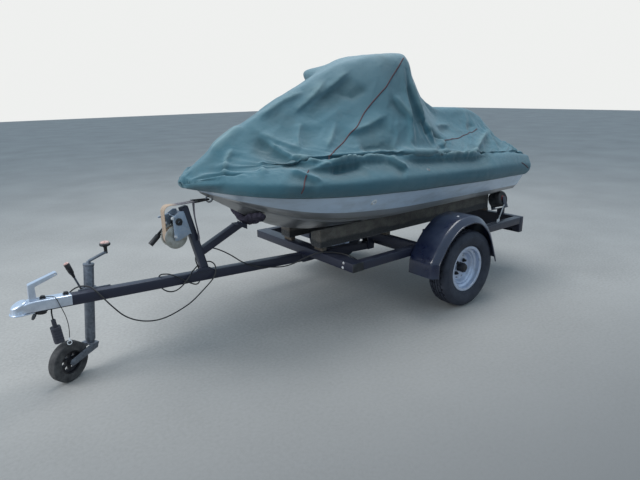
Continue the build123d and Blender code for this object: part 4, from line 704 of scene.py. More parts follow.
def fold_push(points, line, out, width, tuck):
    """How far each point stands out for a fold along a line, which fades at the line's ends."""
    line = [np.array(spot) for spot in line]
    lengths = [np.linalg.norm(end - start) for start, end in zip(line, line[1:])]
    nearest = np.full(len(points), 1e9)
    rise = np.zeros(len(points))
    share = np.zeros(len(points))
    passed = 0
    for start, end, length in zip(line, line[1:], lengths):
        run = end - start
        part = np.clip((points - start) @ run / length**2, 0, 1)
        gap = points - start - part[:, None] * run
        distance = np.linalg.norm(gap, axis=1)
        closer = distance < nearest
        nearest[closer] = distance[closer]
        rise[closer] = gap[closer, 2]
        share[closer] = (passed + part[closer] * length) / sum(lengths)
        passed += length
    fade = np.clip(5 * share, 0.15, 1) * np.clip(5 * (1 - share), 0.15, 1)
    above = np.exp(-((nearest / width) ** 1.4))
    below = np.exp(-((nearest / (0.55 * width)) ** 1.4))
    under = (nearest / width) * np.exp(1 - nearest / width)
    upper = np.clip(0.5 + 0.9 * rise / (nearest + 1), 0, 1)
    return fade * (upper * out * above + (1 - upper) * (out * below - tuck * under))


def crumple(point):
    """Height of the small creases at this place, from 0 to about 1, run out along the craft."""
    along = 0.75 * point.x - 0.65 * point.z
    across = 0.65 * point.x + 0.75 * point.z
    spot = Vector((along * 3.2, point.y * 6.5, across * 7.5))
    small = noise.ridged_multi_fractal(spot, 1.0, 2.2, 3, 1.0, 1.6)
    patches = noise.noise(point * 2.6) + 0.6
    return 0.35 * small * min(1.2, max(0.25, patches))


def on_cover(spot):
    """Nearest place on the cover, and the way its cloth faces there."""
    found, nearest, normal, face = canvas_sheet.closest_point_on_mesh(spot)
    return nearest, normal


def lying(line):
    """A line of points in millimetres, each brought onto the cloth."""
    spots = [on_cover(place(*spot))[0] for spot in line]
    return [((spot.x - axle_x) * 1000, spot.y * 1000, spot.z * 1000) for spot in spots]


# Each fold comes again on the starboard side, a little aft and less high
mirror_back = 25
mirror_share = 0.8
sheet_points = np.empty(len(canvas_sheet.data.vertices) * 3)
canvas_sheet.data.vertices.foreach_get("co", sheet_points)
sheet_points = sheet_points.reshape(-1, 3)
sheet_normals = np.array([vertex.normal for vertex in canvas_sheet.data.vertices])
sheet_mm = sheet_points * 1000 - np.array((axle_x * 1000, 0, 0))
pushes = np.zeros(len(sheet_mm))
for out, width, tuck, line in cover_folds:
    pushes += fold_push(sheet_mm, lying(line), out, width, tuck)
    mirrored = lying([(x - mirror_back, -y, z) for x, y, z in line])
    pushes += mirror_share * fold_push(sheet_mm, mirrored, out, width, tuck)

# Small creases all over, flatter on the tight band under the tuck
fold_gain = 1.15
crease_height = 18
crease_middle = 0.28
edge_heights = np.interp(sheet_mm[:, 0], [row[0] for row in cover_stations], [row[4] for row in cover_stations])
loose_share = np.clip((sheet_mm[:, 2] - edge_heights - 90) / 90, 0.08, 1)
creases = np.array([crumple(Vector(spot)) - crease_middle for spot in sheet_points])
pushes = fold_gain * pushes + crease_height * loose_share * creases
sheet_points += sheet_normals * pushes[:, None] / 1000

# The far end of the handlebars, which stands up under the cloth on the starboard side
bar_end = np.array((460, -215, 1400))
bar_end_radius = 90
bar_end_push = np.array((0.075, -0.185, 0.075))
bar_end_share = np.exp(-(np.linalg.norm(sheet_mm - bar_end, axis=1) / bar_end_radius) ** 2)
sheet_points += bar_end_share[:, None] * bar_end_push
# Each point keeps its fold's push, for the canvas's painted highlight on ridges and painted shade in tucks
fold_shade = canvas_sheet.data.attributes.new("fold", "FLOAT", "POINT")
fold_shade.data.foreach_set("value", np.clip(0.5 + pushes / 34, 0, 1))
canvas_sheet.data.vertices.foreach_set("co", sheet_points.ravel())
canvas_sheet.data.update()

# The canvas is lighter high up, with patches of fading and dirt, a painted highlight on the ridges
# of its folds and painted shade in their tucks
canvas = Finish("teal_canvas", sheen_weight=0.25, sheen_roughness=0.5, specular_ior_level=0.25)
canvas_weave = canvas.waves("X", 260.0) * 0.5 + canvas.waves("Z", 260.0) * 0.5
canvas_crinkle = canvas.noise(14, 5, 0.6, 0.6)
canvas_fade = canvas.share(canvas.noise(2.2, 5, 0.6), 0.35, 0.68)
canvas_dirt = canvas.share(canvas.noise(5.5, 6, 0.65, 0.4), 0.5, 0.8)
canvas_fold_light_and_shade = canvas.painted("fold")
canvas_tone = canvas.mixed(canvas_fade, (0.036, 0.116, 0.150), (0.064, 0.146, 0.176))
# Columns: what changes the tone, from where to where, how much and to which tone
for change, low, high, amount, tone in (
    (canvas.axis("Z"), 1.15, 1.5, 0.4, (0.15, 0.215, 0.24)),
    # Painted highlight on the ridges of the folds
    (canvas_fold_light_and_shade, 0.62, 1.0, 0.45, (0.16, 0.25, 0.26)),
    # Painted shade in the tucks under the folds
    (canvas_fold_light_and_shade, 0.40, 0.1, 0.5, (0.022, 0.055, 0.064)),
):
    canvas_tone = canvas.mixed(canvas.share(change, low, high) * amount, canvas_tone, tone)
canvas.apply(
    colour=canvas.mixed(canvas_dirt * 0.45, canvas_tone, (0.092, 0.120, 0.122)),
    roughness=0.72 + canvas_dirt * 0.15,
    relief=canvas_crinkle * 0.9 + canvas_weave * 0.06,
    depth=0.006,
)
active(canvas_sheet)
bpy.ops.object.shade_smooth()
finished(canvas_sheet, canvas, "frame", ["cover"])

# Seams of the cover: maroon piping sewn over the joins of its panels, lying on the finished cloth
# from the bars to the tuck, along the seat, and down the bow and the tail.
seam_thread = Finish("maroon_seam", roughness=0.8)
seam_thread.apply(colour=seam_thread.mixed(seam_thread.noise(90, 3), (0.055, 0.012, 0.018), (0.10, 0.03, 0.03)))
cover_seams = (
    ((178, 241, 1515), (330, 280, 1368), (514, 287, 1236), (626, 312, 1145), (834, 368, 1031), (914, 416, 980)),
    ((-70, 412, 1047), (-200, 370, 1045), (-358, 319, 1047), (-598, 268, 1074)),
    ((1042, 422, 951), (1090, 450, 905), (1130, 472, 857), (1140, 462, 835)),
    ((-718, 536, 829), (-838, 516, 777)),
)
seam_radius = 0.0032
seam_spacing = 0.007
seam_lift = 0.0008
seam_turns = [math.pi * step / 3 for step in range(6)]


def stitched(line):
    """Round seam that lies on the finished cover along a line of points in millimetres."""
    corners = [place(*spot) for spot in line]
    spots = []
    for start, end in zip(corners, corners[1:]):
        steps = max(1, int((end - start).length / seam_spacing))
        spots += [on_cover(start.lerp(end, step / steps))[0] for step in range(steps)]
    for easing in range(12):
        middles = [(before + spot + after) / 3 for before, spot, after in zip(spots, spots[1:], spots[2:])]
        spots = [spots[0], *middles, spots[-1]]
    rings = []
    for before, spot, after in zip(spots, spots[1:], spots[2:]):
        rest, normal = on_cover(spot)
        beside = normal.cross(after - before).normalized()
        centre = rest + normal * seam_lift
        ring = [math.cos(turn) * beside + 0.8 * math.sin(turn) * normal for turn in seam_turns]
        rings.append([centre + seam_radius * out for out in ring])
    return ring_mesh("seam", rings, closed=True)


def joined(pieces):
    """Several objects made one."""
    active(pieces[0])
    for piece in pieces[1:]:
        piece.select_set(True)
    if len(pieces) > 1:
        bpy.ops.object.join()
    return pieces[0]


seam_pieces = [stitched(line) for line in cover_seams]
seam_pieces += [stitched([(x, -y, z) for x, y, z in line]) for line in cover_seams]
canvas_seams = joined(seam_pieces)
canvas_seams.name = "canvas_seams"
bpy.ops.object.shade_smooth()
finished(canvas_seams, seam_thread, "frame")

# The elastic hem in its sleeve: a round tube of the same canvas that follows the cover's edge
# under the gunwale all round.
hem_radius = 0.006
hem_rings = cover_rings(cover_half)[2:-2]
hem_line = [ring[0] for ring in hem_rings] + [ring[-1] for ring in reversed(hem_rings)]
hem_tube_rings = []
for before, spot, after in zip(hem_line[-1:] + hem_line, hem_line, hem_line[1:] + hem_line[:1]):
    beside = Vector((0, 0, 1)).cross(after - before).normalized()
    above = (after - before).cross(beside).normalized()
    ring = [math.cos(turn) * beside + math.sin(turn) * above for turn in seam_turns]
    hem_tube_rings.append([spot + hem_radius * out for out in ring])
hem_tube = mended(ring_mesh("canvas_hem", hem_tube_rings + hem_tube_rings[:1], closed=True), weld=0.0001)
bpy.ops.object.shade_smooth()
finished(hem_tube, canvas, "frame")

# Painted steel of the trailer frame: blue-black brushed paint over box section, dusty on top. The
# tubes are welded, so their long edges are round and their joints plain.
frame_paint = Finish("frame_paint", coat_weight=0.15, coat_roughness=0.25)
paint_wear = frame_paint.noise(30, 6, 0.7)
paint_dust = frame_paint.facing_up() * frame_paint.share(frame_paint.noise(12, 5), 0.3, 0.7)
frame_paint.apply(
    colour=frame_paint.mixed(paint_dust * 0.22, (0.008, 0.010, 0.026), (0.13, 0.13, 0.15)),
    roughness=0.34 + paint_wear * 0.2 + paint_dust * 0.15,
    relief=paint_wear,
    depth=0.0008,
)


def bevelled(piece, width, segments, angle):
    """Round the edges where the faces turn by more than this angle in degrees."""
    limit = {"limit_method": "ANGLE", "angle_limit": math.radians(angle)}
    return changed(piece, "Ease", "BEVEL", width=width, segments=segments, **limit)


def eased(node, width, finish, body="frame", segments=2, angle=32):
    """A welded copy of a CAD node with its sharp edges eased, which takes its place."""
    piece = bpy.data.objects.new(node + "_eased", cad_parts[node].data.copy())
    bpy.context.collection.objects.link(piece)
    active(piece)
    bpy.ops.object.mode_set(mode="EDIT")
    bpy.ops.mesh.select_all(action="SELECT")
    bpy.ops.mesh.remove_doubles(threshold=0.00002)
    bpy.ops.mesh.dissolve_limited(angle_limit=math.radians(0.5))
    bpy.ops.object.mode_set(mode="OBJECT")
    bevelled(piece, width, segments, angle)
    bpy.ops.object.shade_smooth_by_angle(angle=math.radians(angle))
    return finished(piece, finish, body, [node])


for tube in ("side_rail_left", "side_rail_right", "front_crossmember", "mid_crossmember", "rear_crossmember"):
    eased(tube, 0.004, frame_paint)
for part in ("drawbar", "drawbar_brackets", "axle_beam", "winch_post", "bow_stop_brace", "mudguard_brackets"):
    eased(part, 0.003, frame_paint)

# Hull of the craft: moulded glassfibre in grey gelcoat, with a lighter band under the gunwale, a
# hard chine and a spray strake each side, which ends before bow and stern. Under the band the hull
# is painted dark, partly a darker grey gelcoat and partly painted shade on its sides that face down.
# The jet's tunnel is cut out of its stern.
gelcoat = Finish("grey_gelcoat", coat_weight=0.35, coat_roughness=0.12, specular_ior_level=0.5)
gelcoat_stain = gelcoat.share(gelcoat.noise(6, 6, 0.65, place=gelcoat.stretched((1, 1, 3))), 0.45, 0.75)
# Light band, and under it the hull painted dark: partly a darker grey and partly painted shade
gelcoat_band_and_painted_shade = gelcoat.mixed(gelcoat.painted("band"), (0.185, 0.187, 0.190), (0.48, 0.57, 0.67))
gelcoat.apply(
    colour=gelcoat.mixed(gelcoat_stain * 0.35, gelcoat_band_and_painted_shade, (0.16, 0.15, 0.13)),
    roughness=0.28 + gelcoat_stain * 0.25,
    relief=gelcoat.noise(5, 2),
    depth=0.002,
)


def settle(piece, name, finish, body, nodes=(), frame_at=None, ease=0, angle=35):
    """Put a finished piece in its place on its body, in place of the CAD nodes that it stands for."""
    active(piece)
    if frame_at is not None:
        piece.matrix_world = frame_at @ piece.matrix_world
    bpy.ops.object.transform_apply(location=True, rotation=True, scale=True)
    if ease:
        bevelled(piece, ease, 2, angle)
    bpy.ops.object.shade_smooth_by_angle(angle=math.radians(angle))
    piece.name = name
    return finished(piece, finish, body, nodes)


def cut_away(piece, cutter):
    """Take the cutter's space out of the piece."""
    changed(piece, "Cut", "BOOLEAN", object=cutter, solver="EXACT")
    bpy.data.objects.remove(cutter)


def cuboid(low, high):
    """Box between two corners in metres."""
    centre = [(a + b) / 2 for a, b in zip(low, high)]
    bpy.ops.mesh.primitive_cube_add(size=1, location=centre)
    bpy.context.object.scale = [b - a for a, b in zip(low, high)]
    bpy.ops.object.transform_apply(location=True, rotation=True, scale=True)
    return bpy.context.object


# Columns: ahead of the axle and the strake's depth
strake_depths = ((-870, 0), (-800, 8), (700, 8), (950, 7), (1150, 5), (1300, 0), (1450, 0))
strake_shares = (0.74, 0.788, 0.80)
hull_tail = hull_stations[0][0]
hull_nose = hull_stations[-1][0]
hull_rings = []
for hull_distance in range(hull_tail, hull_nose + 2, 40):
    keel_z, chine_y, chine_z, band_y, band_z, gunwale_y, gunwale_z = smooth_between(hull_stations, hull_distance)
    half_points = [(0, keel_z)]
    for share in strake_shares:
        lip = smooth_between(strake_depths, hull_distance)[0] if share == strake_shares[1] else 0
        half_points.append((chine_y * share, keel_z + (chine_z - keel_z) * share - lip))
    # Steps under the chine, the band and the gunwale, which run out at the bow
    run = min(1, chine_y / 200)
    half_points += [(chine_y - 12 * run, chine_z - 4 * run), (chine_y, chine_z)]
    half_points += [(band_y - 6 * run, band_z - 3), (band_y, band_z)]
    half_points += [(gunwale_y - 3, gunwale_z - 6), (gunwale_y, gunwale_z)]
    ring = [place(hull_distance, y, z) for y, z in half_points]
    ring += [place(hull_distance, -y, z) for y, z in reversed(half_points) if y > 0]
    hull_rings.append(ring)
hull_skin = mended(ring_mesh("hull_skin", hull_rings, closed=True), ends=True)
jet_tunnel = ((ahead(-900), -0.1, 0.3), (ahead(-600), 0.1, 0.65))
cut_away(hull_skin, cuboid(*jet_tunnel))
# Each point's share of the band: 1 from the band's line up, 0 below it, where the hull is painted dark as shade
band_shade = hull_skin.data.attributes.new("band", "FLOAT", "POINT")
for vertex, shade in zip(hull_skin.data.vertices, band_shade.data):
    distance = min(max((vertex.co.x - axle_x) * 1000, hull_tail), hull_nose)
    band_z = smooth_between(hull_stations, distance)[4]
    shade.value = min(1, max(0, (vertex.co.z * 1000 - band_z + 3.5) / 3))
settle(hull_skin, "hull_skin", gelcoat, "frame", ["hull"], angle=14)


def spun(outline, steps, closed=False):
    """Outline of radius and height spun about the local upright axis."""
    data = bpy.data.meshes.new("spun")
    points = [(r, 0, z) for r, z in outline]
    edges = [(n, n + 1) for n in range(len(points) - 1)]
    if closed:
        edges.append((len(points) - 1, 0))
    data.from_pydata(points, edges, [])
    piece = bpy.data.objects.new("spun", data)
    bpy.context.collection.objects.link(piece)
    active(piece)
    bpy.ops.object.mode_set(mode="EDIT")
    bpy.ops.mesh.select_all(action="SELECT")
    bpy.ops.mesh.spin(steps=steps, angle=2 * math.pi, center=(0, 0, 0), axis=(0, 0, 1))
    bpy.ops.object.mode_set(mode="OBJECT")
    return mended(piece, weld=0.00002)


def upright(at, along, towards=(0, 0, 1)):
    """Frame whose Z runs along a direction and whose X leans towards another."""
    z = Vector(along).normalized()
    x = Vector(towards) - z * Vector(towards).dot(z)
    if x.length < 1e-4:
        x = Vector((1, 0, 0)) - z * z.x
    x.normalize()
    turn = Matrix((x, z.cross(x), z)).transposed().to_4x4()
    return Matrix.Translation(Vector(at)) @ turn


def moved(piece, frame_at):
    """The piece with its mesh carried to a frame."""
    active(piece)
    piece.matrix_world = frame_at @ piece.matrix_world
    bpy.ops.object.transform_apply(location=True, rotation=True, scale=True)
    return piece


def rod(start, end, radius, sides):
    """Round bar between two points."""
    run = Vector(end) - Vector(start)
    bpy.ops.mesh.primitive_cylinder_add(vertices=sides, radius=radius, depth=run.length)
    return moved(bpy.context.object, upright(Vector(start) + run / 2, run))


def bolt(at, along, across, height, washer):
    """Hexagon head on its washer, standing along a direction."""
    along = Vector(along).normalized()
    head = rod(Vector(at), Vector(at) + along * height, across / 2 / math.cos(math.pi / 6), 6)
    return joined([head, rod(Vector(at), Vector(at) + along * 0.002, washer, 24)])


# Drain rings in the hull's side band: pale plastic bushes, one on each side, pressed in half way
# between the band and the gunwale, with a dark plastic disc in each hole as painted shade.
ring_white = worn(
    "drain_white",
    wear=(90, 3),
    span=(0.4, 0.7),
    tones=((0.72, 0.73, 0.74), (0.5, 0.5, 0.48)),
    roughness=0.35,
)
dark_plastic = worn(
    "dark_plastic",
    wear=(25, 5),
    span=(0.45, 0.75),
    tones=((0.012, 0.012, 0.014), (0.05, 0.05, 0.052)),
    rough=(0.42, 0.25),
    relief=(300, 3),
    depth=0.0002,
    specular_ior_level=0.4,
)
ring_outline = (
    (0.0085, -0.004),
    (0.0085, 0.003),
    (0.0105, 0.0048),
    (0.0165, 0.0044),
    (0.0195, 0.002),
    (0.02, -0.004),
)
hole_shade_outline = ((0, -0.0005), (0.0088, -0.0005), (0.0088, -0.004), (0, -0.004))
drain_ahead = 640
drain_columns = smooth_between(hull_stations, drain_ahead)
for side, name in ((1, "left"), (-1, "right")):
    band = Vector((0, side * drain_columns[3], drain_columns[4]))
    gunwale = Vector((0, side * drain_columns[5], drain_columns[6]))
    middle = (band + gunwale) / 2
    slope = gunwale - band
    outwards = (0, side * slope.z, -side * slope.y)
    drain_frame = upright(place(drain_ahead, middle.y, middle.z), outwards, (1, 0, 0))
    ring = spun(ring_outline, 40)
    settle(ring, "drain_ring_" + name, ring_white, "frame", frame_at=drain_frame)
    # A dark disc set in the ring's hole as painted shade
    hole_shade = spun(hole_shade_outline, 24)
    settle(hole_shade, "drain_hole_shade_" + name, dark_plastic, "frame", ["side_drains"], drain_frame)

# Bunks: timber wrapped in brown carpet, worn grey on the upper half, with the lower half painted dark
# as the shadow under the hull, on packers of bare grey timber.
carpet = Finish("bunk_carpet", sheen_weight=0.3, sheen_roughness=0.6, roughness=0.95, specular_ior_level=0.1)
# The lower half of each bunk is painted dark as the shadow of the hull over it
carpet_painted_shadow = carpet.share(carpet.axis("Z") + carpet.noise(8, 3) * 0.03, 0.497, 0.483)
carpet_fuzz = carpet.noise(420, 3, 0.7)
carpet_wear = carpet.share(carpet.noise(16, 5, 0.7), 0.4, 0.7)
carpet_tone = carpet.mixed(carpet_wear, (0.075, 0.062, 0.05), (0.15, 0.135, 0.11))
carpet.apply(
    colour=carpet.mixed(carpet_painted_shadow, carpet_tone, (0.022, 0.02, 0.02)),
    relief=carpet_fuzz * 0.7 + carpet.noise(60, 3) * 0.6,
    depth=0.004,
)
for bunk in ("bunk_left", "bunk_right"):
    eased(bunk, 0.011, carpet, segments=4)
timber = Finish("packer_timber", roughness=0.85)
timber_grain = timber.noise(30, 5, 0.6, place=timber.stretched((1, 6, 6)))
timber_share = timber.share(timber_grain, 0.35, 0.7)
timber.apply(colour=timber.mixed(timber_share, (0.07, 0.055, 0.042), (0.16, 0.13, 0.1)), relief=timber_grain)
eased("bunk_packers", 0.002, timber)

# Metals: bright zinc on the coupling, dull spangled galvanising on the jockey wheel's tubes,
# and plain steel on hooks and pins.
zinc = Finish("bright_zinc", metallic=0.9)
zinc_cloud = zinc.share(zinc.noise(22, 5, 0.6), 0.35, 0.7)
zinc_rust = zinc.share(zinc.noise(48, 6, 0.7), 0.66, 0.74)
zinc_tone = zinc.mixed(zinc_cloud, (0.72, 0.78, 0.88), (0.55, 0.6, 0.68))
zinc.apply(
    colour=zinc.mixed(zinc_rust * 0.6, zinc_tone, (0.3, 0.22, 0.15)),
    roughness=0.3 + zinc_cloud * 0.18,
    relief=zinc.noise(120, 3),
    depth=0.0003,
)
galvanised = Finish("dull_galvanised", metallic=0.65)
spangle = galvanised.node("ShaderNodeTexVoronoi", None, {"Vector": galvanised.place, "Scale": 90.0}, "Color")
spangle_value = galvanised.node("ShaderNodeSeparateColor", None, {0: spangle})
galvanised_stain = galvanised.share(galvanised.noise(18, 6, 0.65), 0.4, 0.75)
galvanised_tone = galvanised.mixed(spangle_value, (0.12, 0.135, 0.16), (0.19, 0.21, 0.245))
galvanised.apply(
    colour=galvanised.mixed(galvanised_stain * 0.5, galvanised_tone, (0.08, 0.078, 0.08)),
    roughness=0.42 + galvanised_stain * 0.25,
    relief=galvanised.noise(90, 4),
    depth=0.0004,
)
steel = worn(
    "worn_steel",
    wear=(70, 6, 0.7),
    span=(0.5, 0.68),
    tones=((0.3, 0.31, 0.33), (0.14, 0.08, 0.05)),
    rough=(0.35, 0.4),
    relief=(200, 4),
    depth=0.0003,
    metallic=0.85,
)

# Road wheels: 145/80 R10 tyres with four ribs of blocks, on silver steel rims with eight holes, and
# a dark hub with four nuts and a grease cap.
rubber = worn(
    "tyre_rubber",
    wear=(14, 6, 0.65),
    span=(0.35, 0.75),
    tones=((0.016, 0.019, 0.030), (0.050, 0.054, 0.070)),
    rough=(0.6, 0.2),
    relief=(160, 3),
    depth=0.0005,
    specular_ior_level=0.35,
)
silver = Finish("wheel_silver", metallic=0.55, coat_weight=0.2)
silver_dirt = silver.share(silver.noise(24, 6, 0.7), 0.5, 0.8)
silver.apply(
    colour=silver.mixed(silver_dirt * 0.7, (0.46, 0.52, 0.64), (0.22, 0.22, 0.23)),
    roughness=0.32 + silver_dirt * 0.3,
)
hub_paint = Finish("hub_paint", metallic=0.2)
hub_grime = hub_paint.noise(40, 5, 0.7)
hub_paint.apply(
    colour=hub_paint.mixed(hub_paint.share(hub_grime, 0.5, 0.75), (0.012, 0.012, 0.016), (0.07, 0.06, 0.055)),
    roughness=0.35 + hub_grime * 0.3,
    relief=hub_grime,
)
# Columns of the wheel's outlines: radius, and how far out from the wheel's middle
tyre_half = (
    (0.1312, 0.0333),
    (0.1312, 0.0463),
    (0.1455, 0.0470),
    (0.1478, 0.0530),
    (0.1560, 0.0610),
    (0.1580, 0.0628),
    (0.1600, 0.0622),
    (0.1720, 0.0682),
    (0.1960, 0.0722),
    (0.2060, 0.0715),
    (0.2075, 0.0722),
    (0.2095, 0.0712),
    (0.2220, 0.0665),
    (0.2330, 0.0610),
    (0.2385, 0.0545),
    (0.2405, 0.0465),
    (0.2412, 0.0345),
    (0.2355, 0.0335),
    (0.2355, 0.0285),
    (0.2418, 0.0275),
    (0.2428, 0.0125),
    (0.2365, 0.0115),
    (0.2365, 0.0065),
    (0.2430, 0.0055),
)
rim_outline = (
    (0.1440, -0.0515),
    (0.1440, -0.0480),
    (0.1310, -0.0475),
    (0.1310, -0.0300),
    (0.1120, -0.0180),
    (0.1120, 0.0140),
    (0.1310, 0.0260),
    (0.1310, 0.0475),
    (0.1440, 0.0480),
    (0.1452, 0.0498),
    (0.1440, 0.0516),
    (0.1405, 0.0520),
    (0.1290, 0.0500),
    (0.1270, 0.0460),
    (0.1262, 0.0300),
    (0.1250, 0.0272),
    (0.1210, 0.0262),
    (0.1110, 0.0215),
    (0.1085, 0.0175),
    (0.1070, 0.0135),
    (0.1040, 0.0150),
    (0.1000, 0.0165),
    (0.0960, 0.0150),
    (0.0890, 0.0050),
    (0.0860, -0.0040),
    (0.0830, -0.0075),
    (0.0780, -0.0082),
    (0.0300, -0.0082),
    (0.0300, -0.0120),
    (0.0880, -0.0120),
    (0.0920, 0.0000),
    (0.1030, 0.0120),
    (0.1070, 0.0120),
    (0.1080, -0.0210),
    (0.1250, -0.0310),
    (0.1270, -0.0480),
)
hub_outline = (
    (0, -0.075),
    (0.030, -0.075),
    (0.032, -0.072),
    (0.036, -0.028),
    (0.058, -0.0245),
    (0.0595, -0.0225),
    (0.0595, -0.0121),
    (0.0294, -0.0121),
    (0.0294, 0.0020),
    (0.0285, 0.0230),
    (0.0270, 0.0265),
    (0.0240, 0.0275),
    (0.0235, 0.0325),
    (0.0205, 0.0362),
    (0.0100, 0.0378),
    (0, 0.0380),
)
# Columns: how far a stud, its nut and its washer stand up, their radius and sides
stud_parts = ((0.020, 0.0058, 16), (0.012, 0.0105, 6), (0.003, 0.0125, 24))
tread_steps = 108
tread_depth = 0.0055
vent_circle = 0.072
vent_radius = 0.0065
stud_circle = 0.05
wheel_z = 0.243
wheel_y = 0.6125


def on_circle(radius, share, z):
    """Point this share of a turn round a circle."""
    angle = 2 * math.pi * share
    return Vector((radius * math.cos(angle), radius * math.sin(angle), z))


for side, name in ((1, "left"), (-1, "right")):
    wheel_frame = upright((axle_x, side * wheel_y, wheel_z), (0, side, 0), (0, 0, 1))
    outline = list(tyre_half) + [(r, -z) for r, z in reversed(tyre_half)]
    tyre = spun(outline, tread_steps, closed=True)
    # The grooves between the tread's blocks are every third step on the shoulder, every fourth inside
    mesh = bmesh.new()
    mesh.from_mesh(tyre.data)
    grooves = []
    for face in mesh.faces:
        centre = face.calc_center_median()
        radius = math.hypot(centre.x, centre.y)
        step = round(math.degrees(math.atan2(centre.y, centre.x)) / (360 / tread_steps) - 0.5) % tread_steps
        shoulder = 0.2395 < radius and 0.035 < abs(centre.z) < 0.0545
        middle = 0.2405 < radius and 0.012 < abs(centre.z) < 0.028
        if (shoulder and step % 3 == 0) or (middle and (step + (1 if centre.z > 0 else 2)) % 4 == 0):
            grooves.append(face)
    cut = bmesh.ops.extrude_discrete_faces(mesh, faces=grooves)
    for face in cut["faces"]:
        for vertex in face.verts:
            flat = Vector((vertex.co.x, vertex.co.y, 0))
            vertex.co -= flat.normalized() * tread_depth
    mesh.to_mesh(tyre.data)
    mesh.free()
    settle(tyre, "road_tyre_" + name, rubber, "wheel_" + name, ["tyre_" + name], wheel_frame, angle=28)
    rim = spun(rim_outline, 96, closed=True)
    for turn in range(8):
        share = (turn + 0.5) / 8
        vent = [on_circle(vent_circle, share, z) for z in (-0.03, 0.01)]
        cut_away(rim, rod(*vent, vent_radius, 20))
    settle(rim, "steel_rim_" + name, silver, "wheel_" + name, ["rim_" + name], wheel_frame, angle=30)
    parts = [spun(hub_outline, 48)]
    for turn in range(4):
        stud = on_circle(stud_circle, (turn + 0.5) / 4, -0.008)
        parts += [rod(stud, stud + Vector((0, 0, height)), radius, sides) for height, radius, sides in stud_parts]
    hub = joined(parts)
    settle(hub, "wheel_hub_" + name, hub_paint, "wheel_" + name, ["hub_" + name], wheel_frame, 0.0008)
for arm in ("trailing_arm_left", "trailing_arm_right"):
    eased(arm, 0.003, frame_paint)

# Mudguards: glossy moulded plastic bent over each wheel, with a rounded shoulder, a fascia that
# hangs down outside the tyre and a bead along its rim.
guard_plastic = worn(
    "guard_plastic",
    wear=(9, 6, 0.65),
    span=(0.35, 0.75),
    tones=((0.004, 0.008, 0.030), (0.018, 0.026, 0.052)),
    rough=(0.26, 0.22),
    relief=(7, 2),
    depth=0.003,
    coat_weight=0.5,
    coat_roughness=0.12,
)
# Columns: ahead of the axle and height
guard_outline = (
    (363, 262),
    (359, 345),
    (349, 372),
    (265, 490),
    (140, 577),
    (0, 592),
    (-100, 562),
    (-205, 465),
    (-290, 262),
)
guard_inner = 500
# Columns: out from the inner edge and in from the outline, in millimetres
guard_section = (
    (0, 35),
    (0, 5),
    (1.5, 1.5),
    (5, 0),
    (60, -1),
    (130, 0),
    (160, 0),
    (170, 2),
    (177, 7),
    (183, 14),
    (192, 30),
    (196, 37),
    (199, 38),
    (200, 41),
    (199, 44),
    (195, 45),
)
for side, name in ((1, "left"), (-1, "right")):
    line = rounded_line([(x, 0, z) for x, z in guard_outline], 90, easing=0.42)
    rings = []
    for index, point in enumerate(line):
        before = line[max(index - 1, 0)]
        after = line[min(index + 1, len(line) - 1)]
        along = (after - before).normalized()
        inward = Vector((-along.z, 0, along.x))
        ring = [point + inward * drop for out, drop in guard_section]
        sides = [side * (guard_inner + out) for out, drop in guard_section]
        rings.append([place(spot.x, y, spot.z) for spot, y in zip(ring, sides)])
    guard = mended(ring_mesh("guard", rings))
    changed(guard, "Wall", "SOLIDIFY", thickness=0.003, offset=-1)
    settle(guard, "mudguard_shell_" + name, guard_plastic, "frame", ["mudguard_" + name], angle=40)

# Winch: grey-blue cheeks bolted round the post, a zinc drum with its gear, the crank with its
# pinion, and a worn webbing strap from the drum, over the top and back to the craft's bow eye.
winch_paint = worn(
    "winch_paint",
    wear=(60, 6, 0.7),
    span=(0.45, 0.75),
    tones=((0.27, 0.33, 0.41), (0.36, 0.39, 0.43)),
    rough=(0.4, 0.2),
    relief=(130, 4),
    depth=0.0003,
    metallic=0.3,
    coat_weight=0.1,
)
stay_white = worn(
    "stay_white",
    wear=(60, 5),
    span=(0.5, 0.75),
    tones=((0.6, 0.6, 0.6), (0.3, 0.24, 0.2)),
    roughness=0.4,
)
eased("winch_frame", 0.0008, winch_paint)
drum_zinc = Finish("drum_zinc", metallic=0.8)
drum_tarnish = drum_zinc.share(drum_zinc.noise(34, 6, 0.7), 0.38, 0.66)
drum_rust = drum_zinc.share(drum_zinc.noise(60, 5, 0.7), 0.62, 0.7)
drum_tone = drum_zinc.mixed(drum_tarnish, (0.5, 0.5, 0.47), (0.33, 0.31, 0.26))
drum_zinc.apply(
    colour=drum_zinc.mixed(drum_rust, drum_tone, (0.32, 0.16, 0.05)),
    roughness=0.38 + drum_tarnish * 0.25,
    relief=drum_zinc.noise(140, 4),
    depth=0.0004,
)
eased("winch_drum", 0.0006, drum_zinc)
eased("winch_crank", 0.0012, dark_plastic)
eased("bow_eye", 0.0005, steel)
eased("strap_hook", 0.0022, hub_paint, segments=3)

# Bolts and the pinion's bearings, on the outside of both cheeks
cheek_outer = 48
cheek_bolt_places = ((1624, 624), (1633, 722))
bearing_outline = (
    (0.008, -0.001),
    (0.008, 0.0085),
    (0.0125, 0.0085),
    (0.0125, 0.004),
    (0.0175, 0.0035),
    (0.019, 0.0015),
    (0.019, -0.001),
)
for side, name in ((1, "left"), (-1, "right")):
    spots = [place(x, side * cheek_outer, z) for x, z in cheek_bolt_places]
    bolts = [bolt(spot, (0, side, 0), 0.011, 0.0085, 0.0085) for spot in spots]
    settle(joined(bolts), "cheek_bolts_" + name, stay_white, "frame")
    bearing = spun(bearing_outline, 40, closed=True)
    bearing_frame = upright(place(1600, side * cheek_outer, 699), (0, side, 0))
    settle(bearing, "pinion_bearing_" + name, dark_plastic, "frame", frame_at=bearing_frame)
